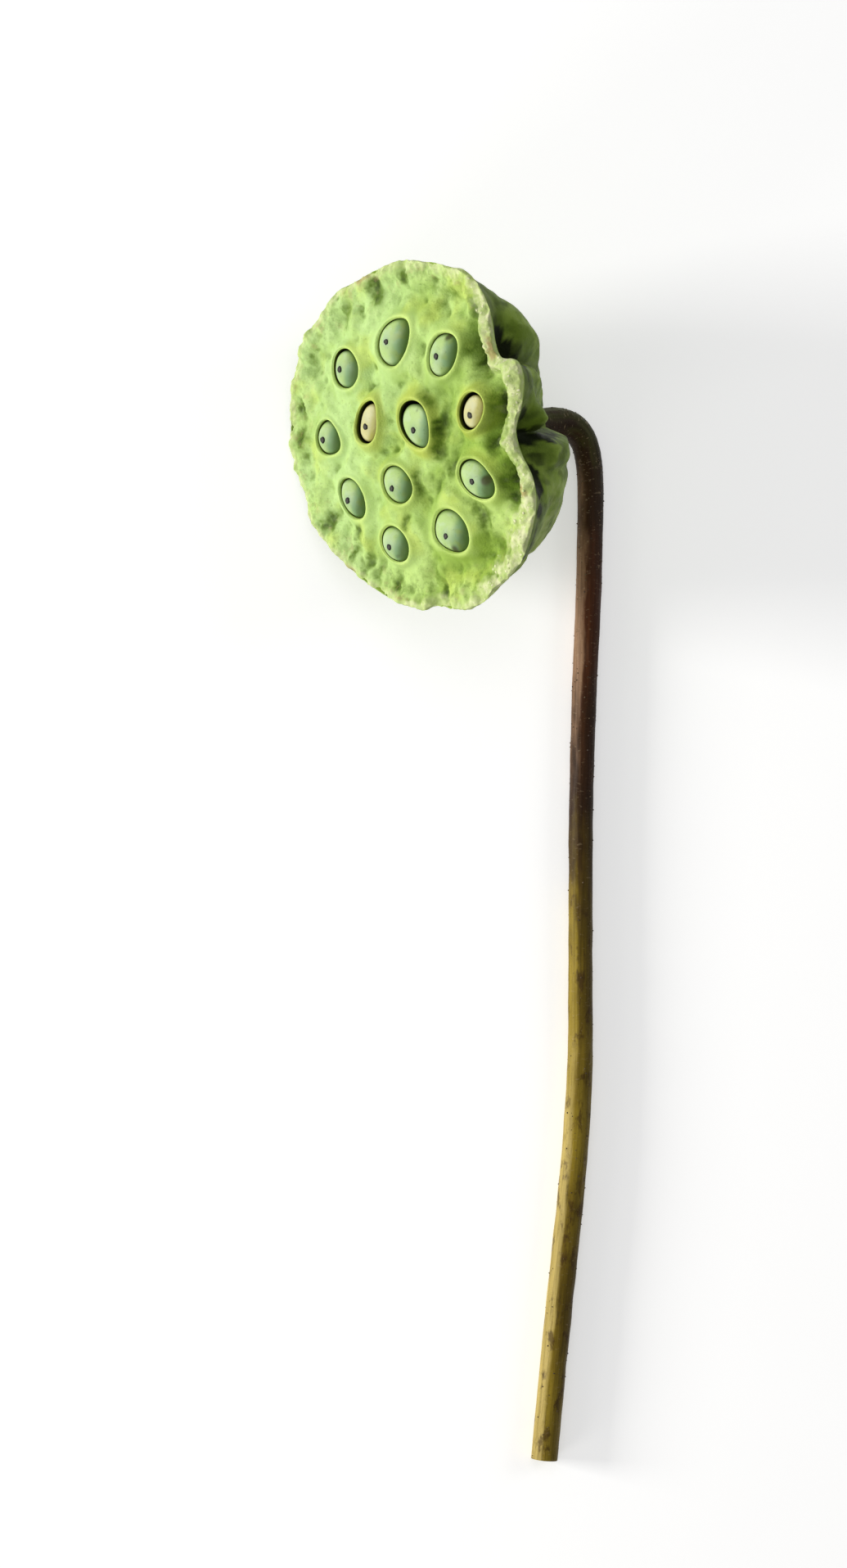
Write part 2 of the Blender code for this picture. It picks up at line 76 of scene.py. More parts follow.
# The face between the pits.
FACE_CROWN = 1.1
SWELL_HEIGHT = 1.3
SWELL_SIZE = 11.0
VALLEY_AT = 0.83
VALLEY_WIDTH = 0.075
VALLEY_DEPTH = 0.8
DEEP_VALLEY_DEPTH = 1.9
DEEP_VALLEY_ANGLE = 14.0
DEEP_VALLEY_SPREAD = 48.0
VALLEY_SHIFT = 0.03
ROLL_AT = 0.9
ROLL_WIDTH = 0.065
ROLL_HEIGHT = 1.5
BEAD_AT = 0.965
BEAD_WIDTH = 0.05
BEAD_HEIGHT = 0.3

# Each pit: place in the head frame, half length and half width of its mouth, the angle of its
# long axis in degrees, how much it narrows towards that axis's end, the height of the mound
# round it, how far its nut stands out of the mouth, and where the nut's tip is from its middle.
PITS = (
    (-2.8, 25.4, 7.0, 5.6, 47, -0.12, 0.5, 1.5, -1.2, 0.3),
    (15.4, 20.5, 6.3, 4.9, 49, 0.05, 0.5, 1.4, -0.6, -0.1),
    (-22.8, 19.8, 5.5, 4.9, 100, 0.0, 0.4, 1.4, -1.5, 0.1),
    (-14.9, 4.5, 5.8, 4.2, 72, -0.12, 1.2, 0.8, -0.9, -0.8),
    (3.8, 3.1, 6.7, 5.2, 122, 0.05, 1.3, 1.0, -0.3, -1.2),
    (25.1, 5.1, 5.4, 4.2, 57, 0.0, 1.2, 0.8, -0.7, -0.9),
    (-32.5, 1.7, 4.9, 4.3, 100, -0.12, 0.4, 1.3, -0.7, -0.6),
    (-25.3, -15.3, 5.8, 4.2, 125, -0.12, 0.5, 1.3, -0.5, -0.7),
    (-5.7, -12.7, 5.9, 4.8, 140, 0.0, 0.8, 1.4, -0.4, -0.9),
    (24.5, -12.8, 7.1, 4.8, 150, 0.0, 0.7, 1.6, -0.2, -0.5),
    (13.3, -26.2, 7.1, 5.3, 144, 0.05, 0.6, 1.6, -0.7, -1.1),
    (-9.1, -28.8, 5.8, 4.4, 141, 0.08, 0.5, 1.4, -0.8, -0.5),
)
# Each mouth's corners, and its flatter sides: angle from its long axis in degrees, how far out.
MOUTH_CORNERS = (
    ((345, 0.15), (265, -0.1)), ((340, 0.14),), ((120, 0.08), (255, 0.08)), ((335, 0.18), (90, -0.1)),
    ((180, 0.12), (285, 0.12)), ((315, 0.1),), ((225, 0.18), (20, -0.08)), ((180, 0.16), (300, 0.1)),
    ((215, 0.1),), ((165, 0.07), (240, -0.1)), ((60, 0.12),), ((240, 0.1),),
)
CORNER_SPREAD = 32.0
PITS = tuple((*pit, corners) for pit, corners in zip(PITS, MOUTH_CORNERS))
UNRIPE = (4, 6)
# Nuts that sit looser in their pits: how much lower and narrower, and how far to +X and to +Y.
LOOSE_NUTS = {
    3: (0.6, 0.2, 0.35, -0.3), 4: (1.1, 0.45, 0.5, -0.2), 5: (0.9, 0.4, 0.5, -0.5),
    6: (1.1, 0.5, 0.5, -0.2), 7: (0.1, 0.1, 0.25, -0.1), 10: (0.2, 0.1, 0.2, -0.1),
}
SNUG_NUT = (0.0, 0.0, 0.18, -0.06)
# Dark blemishes on the nuts: place in the head frame, half length, half width, angle, strength.
BLEMISHES = (
    (19.0, 25.2, 1.6, 1.1, 30, 0.9), (28.9, -13.4, 1.6, 1.6, 20, 1.0), (14.4, -31.2, 1.8, 1.3, 40, 0.85),
    (5.6, 6.6, 1.0, 0.7, 60, 0.5), (-7.4, -32.0, 1.5, 0.8, 20, 0.5), (-4.4, 29.6, 1.3, 0.8, 60, 0.35),
)
LIP_AT = 1.09
LIP_INNER_WIDTH = 0.1
LIP_OUTER_WIDTH = 0.22
LIP_HEIGHT = 0.8

# Hollows of the face: place, half length, half width, angle of the long axis in degrees, depth,
# and how much painted shade darkens the skin in them.
HOLLOWS = (
    (27.8, 20.2, 6.4, 2.3, 94, 2.4, 1.6), (26.4, 21.5, 9.0, 4.4, 94, 1.0, 0.55),
    (28.1, 31.6, 3.4, 2.0, 82, 1.2, 0.95), (18.5, 36.8, 4.4, 2.2, 150, 0.9, 0.55),
    (33.8, 5.0, 5.6, 2.3, 84, 2.2, 1.6), (31.8, 7.0, 7.4, 4.0, 82, 0.8, 0.55),
    (30.5, -2.8, 4.6, 2.2, 62, 0.9, 0.95), (37.0, -13.2, 4.4, 2.6, 112, 2.2, 1.6),
    (35.2, -18.4, 3.4, 2.2, 120, 1.2, 1.15), (34.6, -14.0, 6.6, 4.4, 118, 0.7, 0.5),
    (24.0, -22.6, 6.4, 2.6, 128, 1.4, 0.8), (28.0, -30.0, 5.2, 2.6, 118, 1.0, 0.6),
    (-10.0, 41.0, 4.8, 2.8, 94, 0.5, 1.35), (2.1, 42.6, 2.8, 1.6, 90, 0.4, 0.75),
    (-37.5, 21.0, 4.0, 2.6, 60, 0.6, 0.5), (-44.2, 10.0, 3.2, 1.6, 90, 0.5, 0.9),
    (-44.8, 2.6, 2.8, 1.5, 95, 0.5, 0.8), (12.0, 1.0, 7.0, 2.3, 68, 1.3, 1.05),
    (10.6, -4.6, 3.6, 2.0, 60, 0.8, 0.9), (8.6, 9.8, 3.6, 1.8, 125, 0.9, 0.7),
    (1.9, -13.6, 4.8, 1.9, 100, 1.2, 0.8), (-4.0, -23.1, 2.4, 1.4, 60, 0.7, 0.75),
    (-12.0, -40.2, 2.8, 1.7, 70, 0.9, 0.95), (6.2, -42.4, 2.8, 1.7, 92, 1.1, 1.0),
    (-25.0, -24.8, 2.4, 1.5, 45, 0.8, 0.85), (-27.0, -30.0, 5.0, 1.3, 48, 0.8, 0.7),
    (-22.6, -34.0, 5.4, 1.4, 57, 0.9, 0.75), (-18.0, -36.5, 5.0, 1.3, 64, 0.7, 0.6),
    (-37.0, -22.0, 4.8, 2.2, 32, 0.8, 0.9), (-22.5, 35.0, 4.8, 3.0, 45, 0.6, 0.6),
    (14.6, -8.8, 5.0, 2.4, 60, 1.1, 0.75), (4.0, -36.0, 5.0, 2.2, 90, 0.8, 0.5),
)
# Lumps of the face: place, half length, half width, angle of the long axis, height.
LUMPS = (
    (1.1, -43.6, 2.0, 1.4, 90, 0.9), (-2.4, -41.0, 2.4, 1.3, 85, 0.5), (-29.4, -33.0, 4.6, 1.2, 48, 0.6),
    (-20.2, -35.4, 4.8, 1.1, 60, 0.5), (-39.5, -14.2, 3.0, 2.2, 60, 0.7), (12.4, -42.0, 3.0, 1.8, 110, 0.6),
    (31.0, 26.0, 5.0, 2.0, 100, 0.6), (38.6, 10.0, 5.5, 2.4, 95, 0.8), (33.6, 15.4, 3.0, 1.8, 30, 0.5),
    (41.0, -20.0, 8.0, 2.4, 110, 0.7),
)

# Brownish places on the rim: place, half length, half width, angle of the long axis.
RUSTY = (
    (33.2, 20.4, 3.4, 1.5, 95), (-8.4, -42.6, 3.4, 1.3, 5), (-14.5, 43.5, 3.0, 1.4, 20),
    (41.5, -17.0, 2.0, 1.6, 0), (-22.5, 37.5, 4.2, 2.2, 40), (-33.0, 30.5, 4.0, 1.8, 50),
    (-43.0, 18.5, 3.4, 1.6, 75), (-31.0, -35.0, 3.4, 1.6, 130),
)

# How wide the pale, frosted band along the rim is, at an angle from the head's +X in degrees.
FROST_WIDTHS = (
    (0, 3.6), (10, 6.8), (22, 7.2), (33, 4.2), (45, 3.8), (60, 2.4), (75, 1.7), (95, 1.9), (125, 1.4),
    (160, 1.6), (200, 1.1), (240, 1.2), (262, 1.7), (280, 2.2), (295, 3.0), (310, 4.6), (325, 7.2),
    (338, 7.0), (348, 4.0),
)
MOUND_REACH = 1.8
# How far the face is levelled round a mouth, as a share, and out to which reach.
LEVELLED, LEVELLED_REACH = 0.7, 1.5
PIT_DEPTH = 13.6
PIT_WALL = ((0.012, 0.985), (0.03, 0.974), (0.07, 0.975), (0.25, 1.04), (0.5, 1.05), (0.75, 0.9), (0.93, 0.6))

# A nut: its widest level under the mouth, its slack in the pit, and the gap under it.
NUT_WAIST = 0.9
NUT_SLACK = 0.16
NUT_SEAT_GAP = 0.3
NUT_FULLNESS = 1.75
NUT_STANDS_OUT = 0.35

# The edge of the rim, from the face round to the wall: distance out from the rim, height.
RIM_EDGE = ((0.22, -0.4), (-0.55, -1.0))
BRIM_DEPTH = 2.3
UNDERCUT_DEPTH = 4.6
OVERHANG = 2.7
DEEP_OVERHANGS = ((33, 8, 5.5), (347, 9, 5.5))

# The wall under the rim: depth under the face, radius.
WALL = (
    (7.5, 43.2), (11.0, 42.8), (16.5, 40.8), (22.0, 37.0), (27.5, 31.2), (33.0, 24.6),
    (38.0, 17.4), (42.0, 10.6), (46.0, 4.8),
)
NECK_DEPTH = 46.0
# Its bulges: angle, spread, height.
BULGES = (
    (15, 13, -9.0), (316, 22, 1.6), (287, 13, 1.5), (255, 14, 1.7), (225, 12, 1.5), (201, 9, 0.2),
    (185, 10, -1.3), (168, 9, 0.2), (138, 13, 2.0), (108, 13, 1.2), (82, 10, 0.6),
)
# Its pleats: angle, spread, depth, and the depths under the face where each starts and ends.
PLEATS = (
    (30, 9.0, 6.8, 2, 46), (40, 13.0, 3.5, 22, 46), (69, 5.0, 2.2, 5, 32), (96, 5.0, 3.2, 2, 40),
    (123, 5.0, 3.0, 4, 34), (153, 5.0, 3.0, 2, 42), (186, 4.5, 2.6, 5, 36), (213, 5.0, 2.8, 2, 40),
    (240, 5.0, 2.8, 4, 34), (270, 5.0, 3.4, 2, 42), (303, 5.0, 3.0, 2, 36), (342, 5.0, 1.6, 4, 30),
    (357, 5.5, 7.0, 2, 46), (4, 13.0, 9.5, 11, 46),
)

# Painted shade in the wall's cracks and hollows and behind the brim: angle, depth under the face, half angle,
# half depth, strength.
PAINTED_WALL_SHADOWS = (
    (37.5, 4.6, 3.8, 2.0, 1.0), (33.5, 7.0, 3.2, 2.0, 1.0), (29.8, 9.2, 2.6, 2.2, 0.95),
    (24.5, 4.2, 4.0, 1.2, 1.0), (18.5, 2.8, 4.0, 1.0, 0.8), (5.0, 3.0, 3.0, 1.8, 0.9),
    (355.2, 6.0, 3.4, 3.4, 1.0), (355.2, 10.5, 1.9, 3.6, 1.0), (354.7, 18.5, 1.1, 6.0, 0.85),
    (350.2, 3.6, 3.2, 2.2, 1.0), (345.6, 4.0, 3.4, 1.7, 0.95), (341.5, 5.4, 3.4, 2.1, 1.0),
    (338.0, 4.4, 3.0, 2.1, 1.0), (331.8, 3.2, 2.4, 1.4, 0.95), (323.0, 3.3, 5.0, 1.0, 0.8),
    (315.0, 5.0, 5.5, 3.2, 0.6), (306.0, 6.0, 6.5, 3.2, 0.55), (346.7, 8.2, 1.8, 1.6, 0.6),
)
PAINTED_SHADE_REACH = 30.0

# The stem's centre line in the pod frame, with its radius.
STEM_ROUTE = (
    (36.0, 5.4, 13.4, 4.5), (39.2, 6.0, 11.2, 4.4), (42.8, 6.5, 9.0, 4.25), (46.4, 6.2, 7.1, 4.1),
    (49.4, 4.6, 5.7, 3.95), (51.6, 1.4, 4.8, 3.8), (52.9, -3.6, 4.1, 3.7), (53.5, -10.0, 3.65, 3.65),
    (53.5, -20.0, 3.5, 3.6), (53.0, -40.0, 3.65, 3.55), (51.8, -67.0, 3.9, 3.45),
    (50.9, -98.0, 4.0, 3.35), (50.7, -122.0, 3.95, 3.35), (50.7, -149.0, 3.9, 3.4),
    (50.6, -169.0, 3.8, 3.5), (49.7, -188.0, 3.8, 3.65), (47.5, -213.0, 3.75, 3.7),
    (44.6, -240.0, 3.7, 3.7), (41.7, -269.0, 3.6, 3.7), (40.5, -281.5, 3.55, 3.7),
)
CANAL_COUNT = 7
CANAL_RING = 1.95
CANAL_RADIUS = 0.62
CANAL_DEPTH = 5.0

# How finely the skins are cut.
RIM_SIDES = 640
RIM_SHARES = (0.994, 0.987, 0.979, 0.97, 0.96, 0.95)
PIT_SIDES = 84
MOUTH_SCALES = (1.012, 1.024, 1.037, 1.052, 1.07, 1.09, 1.115, 1.15, 1.19, 1.24, 1.3, 1.37, 1.45)
FACE_SPACING = 0.66
PIT_RINGS_PER_STEP = 4
EDGE_RINGS_PER_STEP = 4
WALL_STEP = 0.95
NUT_SIDES = 64
NUT_DOME_RINGS = 20
STEM_STEP = 0.62
STEM_SIDES = 60
CANAL_SIDES = 18

# The fine relief of the skins, in millimetres.
LUMP_SIZE, LUMP_HEIGHT = 6.0, 1.9
CURD_SIZE, CURD_HEIGHT = 2.6, 0.75
GRIT_SIZE, GRIT_HEIGHT = 1.0, 0.22
RAGGED_SIZE, RAGGED_BY = 3.4, 1.3
PUCKER_SPACING, PUCKER_HEIGHT = 2.8, 0.6
FRAY_SIZE, FRAY_HEIGHT = 1.8, 0.5
WALL_LUMP_SIZE, WALL_LUMP_HEIGHT = 8.5, 0.9
WALL_CURD_SIZE, WALL_CURD_HEIGHT = 2.4, 0.2
RIB_SPACING, RIB_HEIGHT = 2.2, 0.09
STEM_FIBRE_SIZE, STEM_FIBRE_STRETCH, STEM_FIBRE_HEIGHT = 1.1, 9.0, 0.09
STEM_WRINKLE_SIZE, STEM_WRINKLE_HEIGHT = 1.0, 0.1

# The repeats that Geometry Nodes place.
CRUMB_SIZE, CRUMBS_PER_M2, CRUMB_SEED = 0.42, 2.5e5, 5
PRICKLE_SIZE, PRICKLES_PER_M2, PRICKLE_SEED = 0.22, 9.0e4, 11

# The camera in the pod frame: it looks nearly straight down, leaning a little.
CAMERA_PLACE = (-119.6, -93.6, 1205.6)
CAMERA_LEAN = math.radians(6.0)
CAMERA_LENS = 100.0
CAMERA_SENSOR = 36.0


def tint(red, green, blue):
    """A colour as a paint chip names it, 0 to 255, as the shader wants it."""
    def linear(value):
        value /= 255.0
        return value / 12.92 if value <= 0.04045 else ((value + 0.055) / 1.055) ** 2.4
    return (linear(red), linear(green), linear(blue), 1.0)


LIME = tint(176, 203, 112)
YELLOW_LIME = tint(181, 201, 92)
# Painted light on the side of the face towards the light.
PALE_LIME = tint(178, 208, 132)
GRASS = tint(140, 170, 66)
# Used for the face's own mottle and specks, and for painted shade in its hollows.
MOSS = tint(86, 114, 24)
# The darkest painted shade in the face's hollows.
HOLLOW_SHADE_GREEN = tint(36, 56, 3)
LIP_GREEN = tint(202, 226, 128)
CREAM = tint(214, 216, 172)
PALE_GREEN = tint(184, 200, 130)
RUST = tint(170, 152, 104)
# The wall's greens are darker than the face's: partly their own colour, partly painted shade.
WALL_GREEN = tint(102, 126, 34)
WALL_PALE = tint(128, 152, 58)
WALL_DARK = tint(60, 78, 16)
# A painted sheen on the crests of the wall's lobes.
PAINTED_WALL_SHEEN = tint(166, 178, 112)
# The near-black of the painted shade in cracks, pleats and under the brim.
PAINTED_SHADE_DARK = tint(9, 14, 3)
PIT_OLIVE = tint(96, 108, 30)
# The painted shade deep in the pits.
PAINTED_PIT_SHADE = tint(22, 26, 8)
MOUND_YELLOW = tint(176, 186, 66)
NUT_BLUE = tint(172, 196, 142)
NUT_LEAF = tint(166, 194, 118)
NUT_OLIVE = tint(132, 152, 62)
NUT_HALO = tint(96, 130, 116)
NUT_GREEN = tint(106, 142, 94)
NUT_SHADE = tint(62, 90, 26)
BLEMISH = tint(58, 62, 22)
NUT_CREAM = tint(202, 198, 144)
NUT_PEARL = tint(192, 192, 150)
NUT_STRAW = tint(150, 146, 62)
NUT_UMBER = tint(104, 98, 22)
TIP_BROWN = tint(16, 16, 8)
TIP_HEART = tint(52, 52, 38)


def smooth_step(low, high, value):
    """From 0 at low to 1 at high, which may be the smaller one."""
    t = min(1.0, max(0.0, (value - low) / (high - low)))
    return t * t * (3.0 - 2.0 * t)


def bell(distance, spread):
    return math.exp(-((distance / spread) ** 2))


def turn_between(a, b):
    """The smaller angle between two directions, in degrees, without its sign."""
    return abs((a - b + 180.0) % 360.0 - 180.0)


def through(before, start, end, after, t):
    """The Catmull-Rom curve from start to end, at t from 0 to 1."""
    return 0.5 * (
        2 * start + (end - before) * t + (2 * before - 5 * start + 4 * end - after) * t * t
        + (3 * start - before - 3 * end + after) * t ** 3
    )


def grain(place, size, seed):
    """Smooth noise from about -1 to 1, with lumps of a size, at a point."""
    return noise.noise(Vector(place) / size + Vector((17.3 * seed, 5.1 * seed, 9.7 * seed)))


def rim_at(angle, column):
    """The rim's radius (column 1) or lift (column 2) at an angle in degrees."""
    angle %= 360.0
    count = len(RIM)
    last = max(i for i in range(count) if RIM[i][0] <= angle)
    start, end = RIM[last], RIM[(last + 1) % count]
    span = (end[0] - start[0]) % 360.0
    before, after = RIM[last - 1], RIM[(last + 2) % count]
    t = (angle - start[0]) / span
    return through(before[column], start[column], end[column], after[column], t)


def wall_profile(depth):
    """The wall's plain radius at a depth under the face."""
    last = len(WALL) - 2
    i = max([0] + [k for k in range(last + 1) if WALL[k][0] <= depth])
    start, end = WALL[i], WALL[i + 1]
    before, after = WALL[max(0, i - 1)], WALL[min(i + 2, last + 1)]
    t = (depth - start[0]) / (end[0] - start[0])
    return through(before[1], start[1], end[1], after[1], t)


def overhang(angle):
    more = sum(extra * bell(turn_between(angle, at), spread) for at, spread, extra in DEEP_OVERHANGS)
    return OVERHANG + more


def pleat_depth(angle, depth):
    total = 0.0
    for at, wide, deep, start, end in PLEATS:
        along = smooth_step(start, start + 6.0, depth) * (1.0 - smooth_step(end - 8.0, end, depth))
        total += deep * along * max(0.0, 1.0 - turn_between(angle, at) / wide) ** 1.5
    return total


def wall_radius(angle, depth):
    """The wall with its bulges and pleats, hung from the rim."""
    middle = math.sin(math.pi * min(1.0, depth / NECK_DEPTH)) ** 0.8
    radius = wall_profile(max(depth, WALL[0][0]))
    radius += middle * sum(high * bell(turn_between(angle, at), wide) for at, wide, high in BULGES)
    radius -= pleat_depth(angle, depth)
    hung = rim_at(angle, 1) - overhang(angle)
    blend = smooth_step(UNDERCUT_DEPTH - 1.0, UNDERCUT_DEPTH + 7.5, depth)
    return hung + (radius - hung) * blend


def mouth_shape(pit, a):
    """How far a pit's mouth stands from its plain oval, at an angle in radians."""
    angle = math.degrees(a)
    return 1.0 + sum(out * bell(turn_between(angle, at), CORNER_SPREAD) for at, out in pit[10])


def pit_reach(pit, x, y):
    """How far a point is from a pit's middle: 1 on the edge of the mouth."""
    at_x, at_y, half_length, half_width, angle, taper = pit[:6]
    turn = math.radians(angle)
    along = ((x - at_x) * math.cos(turn) + (y - at_y) * math.sin(turn)) / half_length
    across = ((y - at_y) * math.cos(turn) - (x - at_x) * math.sin(turn)) / half_width
    across /= max(0.5, 1.0 + taper * max(-1.2, min(1.2, along)))
    reach = math.hypot(along, across)
    if reach > 3.0:
        return reach
    own = mouth_shape(pit, math.atan2(across, along))
    return reach / (1.0 + (own - 1.0) * smooth_step(3.0, 1.5, reach))


def pit_outline(pit, scale, count):
    """Points of the head frame's XY plane round a pit, at a multiple of its mouth's size."""
    at_x, at_y, half_length, half_width, angle, taper = pit[:6]
    turn = math.radians(angle)
    points = []
    for i in range(count):
        a = math.tau * i / count
        own = mouth_shape(pit, a) * scale
        along = math.cos(a) * own
        across = math.sin(a) * own * (1.0 + taper * max(-1.2, min(1.2, along)))
        along *= half_length
        across *= half_width
        points.append((
            at_x + along * math.cos(turn) - across * math.sin(turn),
            at_y + along * math.sin(turn) + across * math.cos(turn),
        ))
    return points


def ground(x, y):
    """The height of the face without the lips and mounds of its pits."""
    angle = math.degrees(math.atan2(y, x))
    share = math.hypot(x, y) / rim_at(angle, 1)
    high_side = bell(turn_between(angle, DEEP_VALLEY_ANGLE), DEEP_VALLEY_SPREAD)
    height = FACE_CROWN * (1.0 - share * share)
    valley = bell(share - VALLEY_AT + VALLEY_SHIFT * high_side, VALLEY_WIDTH)
    height -= (VALLEY_DEPTH + DEEP_VALLEY_DEPTH * high_side) * valley
    height += ROLL_HEIGHT * high_side * bell(share - ROLL_AT, ROLL_WIDTH)
    height += rim_at(angle, 2) * smooth_step(0.72, 1.0, share)
    height += BEAD_HEIGHT * bell(share - BEAD_AT, BEAD_WIDTH)
    swell = noise.noise(Vector((x, y, 0.0)) / SWELL_SIZE)
    return height + SWELL_HEIGHT * swell


def mouth_level(pit):
    return ground(pit[0], pit[1]) + pit[6] + LIP_HEIGHT * bell(1.0 - LIP_AT, LIP_INNER_WIDTH)


def in_oval(x, y, oval):
    """A bell over an oval: 1 in its middle, near 0 past twice its size."""
    at_x, at_y, half_length, half_width, angle = oval[:5]
    turn = math.radians(angle)
    along = ((x - at_x) * math.cos(turn) + (y - at_y) * math.sin(turn)) / half_length
    across = ((y - at_y) * math.cos(turn) - (x - at_x) * math.sin(turn)) / half_width
    away = along * along + across * across
    return math.exp(-away) if away < 6.0 else 0.0


def frost_width(angle):
    angle %= 360.0
    last = max(i for i in range(len(FROST_WIDTHS)) if FROST_WIDTHS[i][0] <= angle)
    start, end = FROST_WIDTHS[last], FROST_WIDTHS[(last + 1) % len(FROST_WIDTHS)]
    t = (angle - start[0]) / ((end[0] - start[0]) % 360.0)
    return start[1] + (end[1] - start[1]) * smooth_step(0.0, 1.0, t)


def face_point(x, y):
    """A point of the face with its fine relief, and the marks that its colours follow."""
    angle = math.degrees(math.atan2(y, x))
    edge = rim_at(angle, 1)
    share = math.hypot(x, y) / edge
    plain = ground(x, y)
    height = plain
    nearest = 9.0
    mound = 0.0
    lip_and_highlight = 0.0
    for pit in PITS:
        reach = pit_reach(pit, x, y)
        if reach < LEVELLED_REACH:
            level = LEVELLED * smooth_step(LEVELLED_REACH, 1.0, reach)
            height += level * (ground(pit[0], pit[1]) - plain)
        if reach < MOUND_REACH + 1.0:
            height += pit[6] * (1.0 - smooth_step(1.0, MOUND_REACH, reach))
            width = LIP_INNER_WIDTH if reach < LIP_AT else LIP_OUTER_WIDTH
            height += LIP_HEIGHT * bell(reach - LIP_AT, width)
            mound = max(mound, (pit[6] - 0.4) * (1.0 - smooth_step(1.1, 1.9, reach)))
            # Paler lips all round, and paler still on the slope that faces the light: painted highlight.
            lit_far_side = smooth_step(-0.5, 0.7, (x - pit[0]) / pit[3])
            lip_and_highlight = max(lip_and_highlight, smooth_step(1.3, 1.04, reach) * (0.25 + 0.75 * lit_far_side))
        nearest = min(nearest, reach)
    bare = smooth_step(1.25, 1.8, nearest)
    outer = smooth_step(0.8, 0.95, share)
    lump = grain((x, y, 0.0), LUMP_SIZE, 1)
    curd = grain((x, y, 0.0), CURD_SIZE, 2)
    grit = grain((x, y, 0.0), GRIT_SIZE, 3)
    turn = math.radians(angle)
    pucker = noise.noise(Vector((
        math.cos(turn) * edge / PUCKER_SPACING, math.sin(turn) * edge / PUCKER_SPACING,
        share * edge / 14.0)))
    ragged_x = x + RAGGED_BY * (grain((x, y, 3.0), RAGGED_SIZE, 14) + 0.4 * grit)
    ragged_y = y + RAGGED_BY * (grain((x, y, 9.0), RAGGED_SIZE, 15) + 0.4 * curd)
    clear = smooth_step(1.02, 1.3, nearest)
    # How much painted shade darkens the skin in the hollows.
    dark = 0.0
    for shaded_hollow in HOLLOWS:
        inside = in_oval(ragged_x, ragged_y, shaded_hollow)
        height -= shaded_hollow[5] * inside * clear
        dark = max(dark, shaded_hollow[6] * inside * (0.35 + 0.65 * clear))
    dark *= 0.95 + 0.4 * curd + 0.3 * grit
    for bump in LUMPS:
        height += bump[5] * in_oval(ragged_x, ragged_y, bump) * clear
    height += LUMP_HEIGHT * lump * bare * (1.0 - 0.4 * outer)
    height += CURD_HEIGHT * curd * (0.12 + 0.88 * bare)
    height += GRIT_HEIGHT * grit * (0.2 + 0.8 * bare) * (1.0 + outer)
    height += PUCKER_HEIGHT * pucker * outer
    inward = edge * (1.0 - share)
    wide_frost = smooth_step(1.6, 4.0, frost_width(angle))
    width = frost_width(angle) * (1.0 + 0.7 * curd + 0.5 * grit)
    marks = {
        "frost": 1.0 - smooth_step(0.3 * width, 1.5 * width + 0.3, inward),
        "chalk": smooth_step(1.6, 4.6, frost_width(angle)),
        "crumbly": wide_frost * smooth_step(1.2 * width, 0.3 * width, inward),
        "rust": max(in_oval(ragged_x, ragged_y, oval) for oval in RUSTY),
        # Painted shade in the hollows and in the low places of the relief.
        "shaded_hollow": max(dark, smooth_step(0.0, 0.75, -0.7 * lump - 0.8 * curd - 0.15) * bare * 0.7),
        "bare": bare,
        "lip_and_highlight": lip_and_highlight,
        "margin": smooth_step(0.7, 0.96, share),
        "mound": mound,
        # Paler towards the side the light comes from: painted light.
        "painted_light_side": smooth_step(34.0, -30.0, x - 0.35 * y),
    }
    return height, marks


class Skin:
    """Points, faces and marks of one skin, in the head frame."""

    MARKS = (
        "frost", "chalk", "crumbly", "rust", "shaded_hollow", "bare", "lip_and_highlight", "margin", "mound", "painted_light_side",
        "wall", "painted_shade", "painted_sheen", "pit",
    )

    def __init__(self):
        self.points = []
        self.faces = []
        self.marks = {name: [] for name in self.MARKS}

    def add(self, points, marks):
        """Adds points with the same marks, or with a list of marks, and gives their numbers."""
        start = len(self.points)
        self.points.extend(points)
        for i in range(len(points)):
            own = marks[i] if isinstance(marks, list) else marks
            for name in self.MARKS:
                self.marks[name].append(own.get(name, 0.0))
        return list(range(start, len(self.points)))

    def join(self, first, second):
        """Quads from one ring of points to the next."""
        for i in range(len(first)):
            self.faces.append((first[i - 1], first[i], second[i], second[i - 1]))


def around(radius_at, sides, share=1.0):
    """Points round the head's axis, as (x, y), at a share of a radius that depends on the angle."""
    points = []
    for i in range(sides):
        angle = 360.0 * i / sides
        radius = radius_at(angle) * share
        turn = math.radians(angle)
        points.append((radius * math.cos(turn), radius * math.sin(turn)))
    return points


def face_grid():
    """The loose points of the face, on a triangular grid, clear of the pits and the rim."""
    points = []
    rows = int(62.0 / FACE_SPACING)
    for row in range(-rows, rows + 1):
        for column in range(-rows, rows + 1):
            x = (column + 0.5 * (row % 2)) * FACE_SPACING
            y = row * FACE_SPACING * math.sqrt(0.75)
            radius = math.hypot(x, y)
            if radius > 51.0:
                continue
            if radius / rim_at(math.degrees(math.atan2(y, x)), 1) > RIM_SHARES[-1] - 0.008:
                continue
            if all(pit_reach(pit, x, y) > MOUTH_SCALES[-1] + 0.07 for pit in PITS):
                points.append((x, y))
    return points


def ring_edges(ring):
    return [(ring[i - 1], ring[i]) for i in range(len(ring))]


def triangulated(points, rings, keep):
    """Triangles between flat points, along closed rings of edges, where keep(x, y) holds."""
    edges = [edge for ring in rings for edge in ring_edges(ring)]
    flat = [Vector(p) for p in points]
    made, _, faces, sources, _, _ = delaunay_2d_cdt(flat, edges, [], 0, 1e-7)
    triangles = []
    for face in faces:
        middle = sum((made[i] for i in face), Vector((0.0, 0.0))) / len(face)
        if keep(middle.x, middle.y):
            triangles.append(tuple(sources[i][0] for i in face))
    return triangles


def encloses(ring, x, y):
    """Whether a closed ring of flat points goes round a point."""
    inside = False
    for (x1, y1), (x2, y2) in zip(ring, ring[1:] + ring[:1]):
        if (y1 > y) != (y2 > y) and x < x1 + (x2 - x1) * (y - y1) / (y2 - y1):
            inside = not inside
    return inside


def on_face(x, y):
    inside = math.hypot(x, y) < rim_at(math.degrees(math.atan2(y, x)), 1)
    return inside and all(pit_reach(pit, x, y) > 0.999 for pit in PITS)


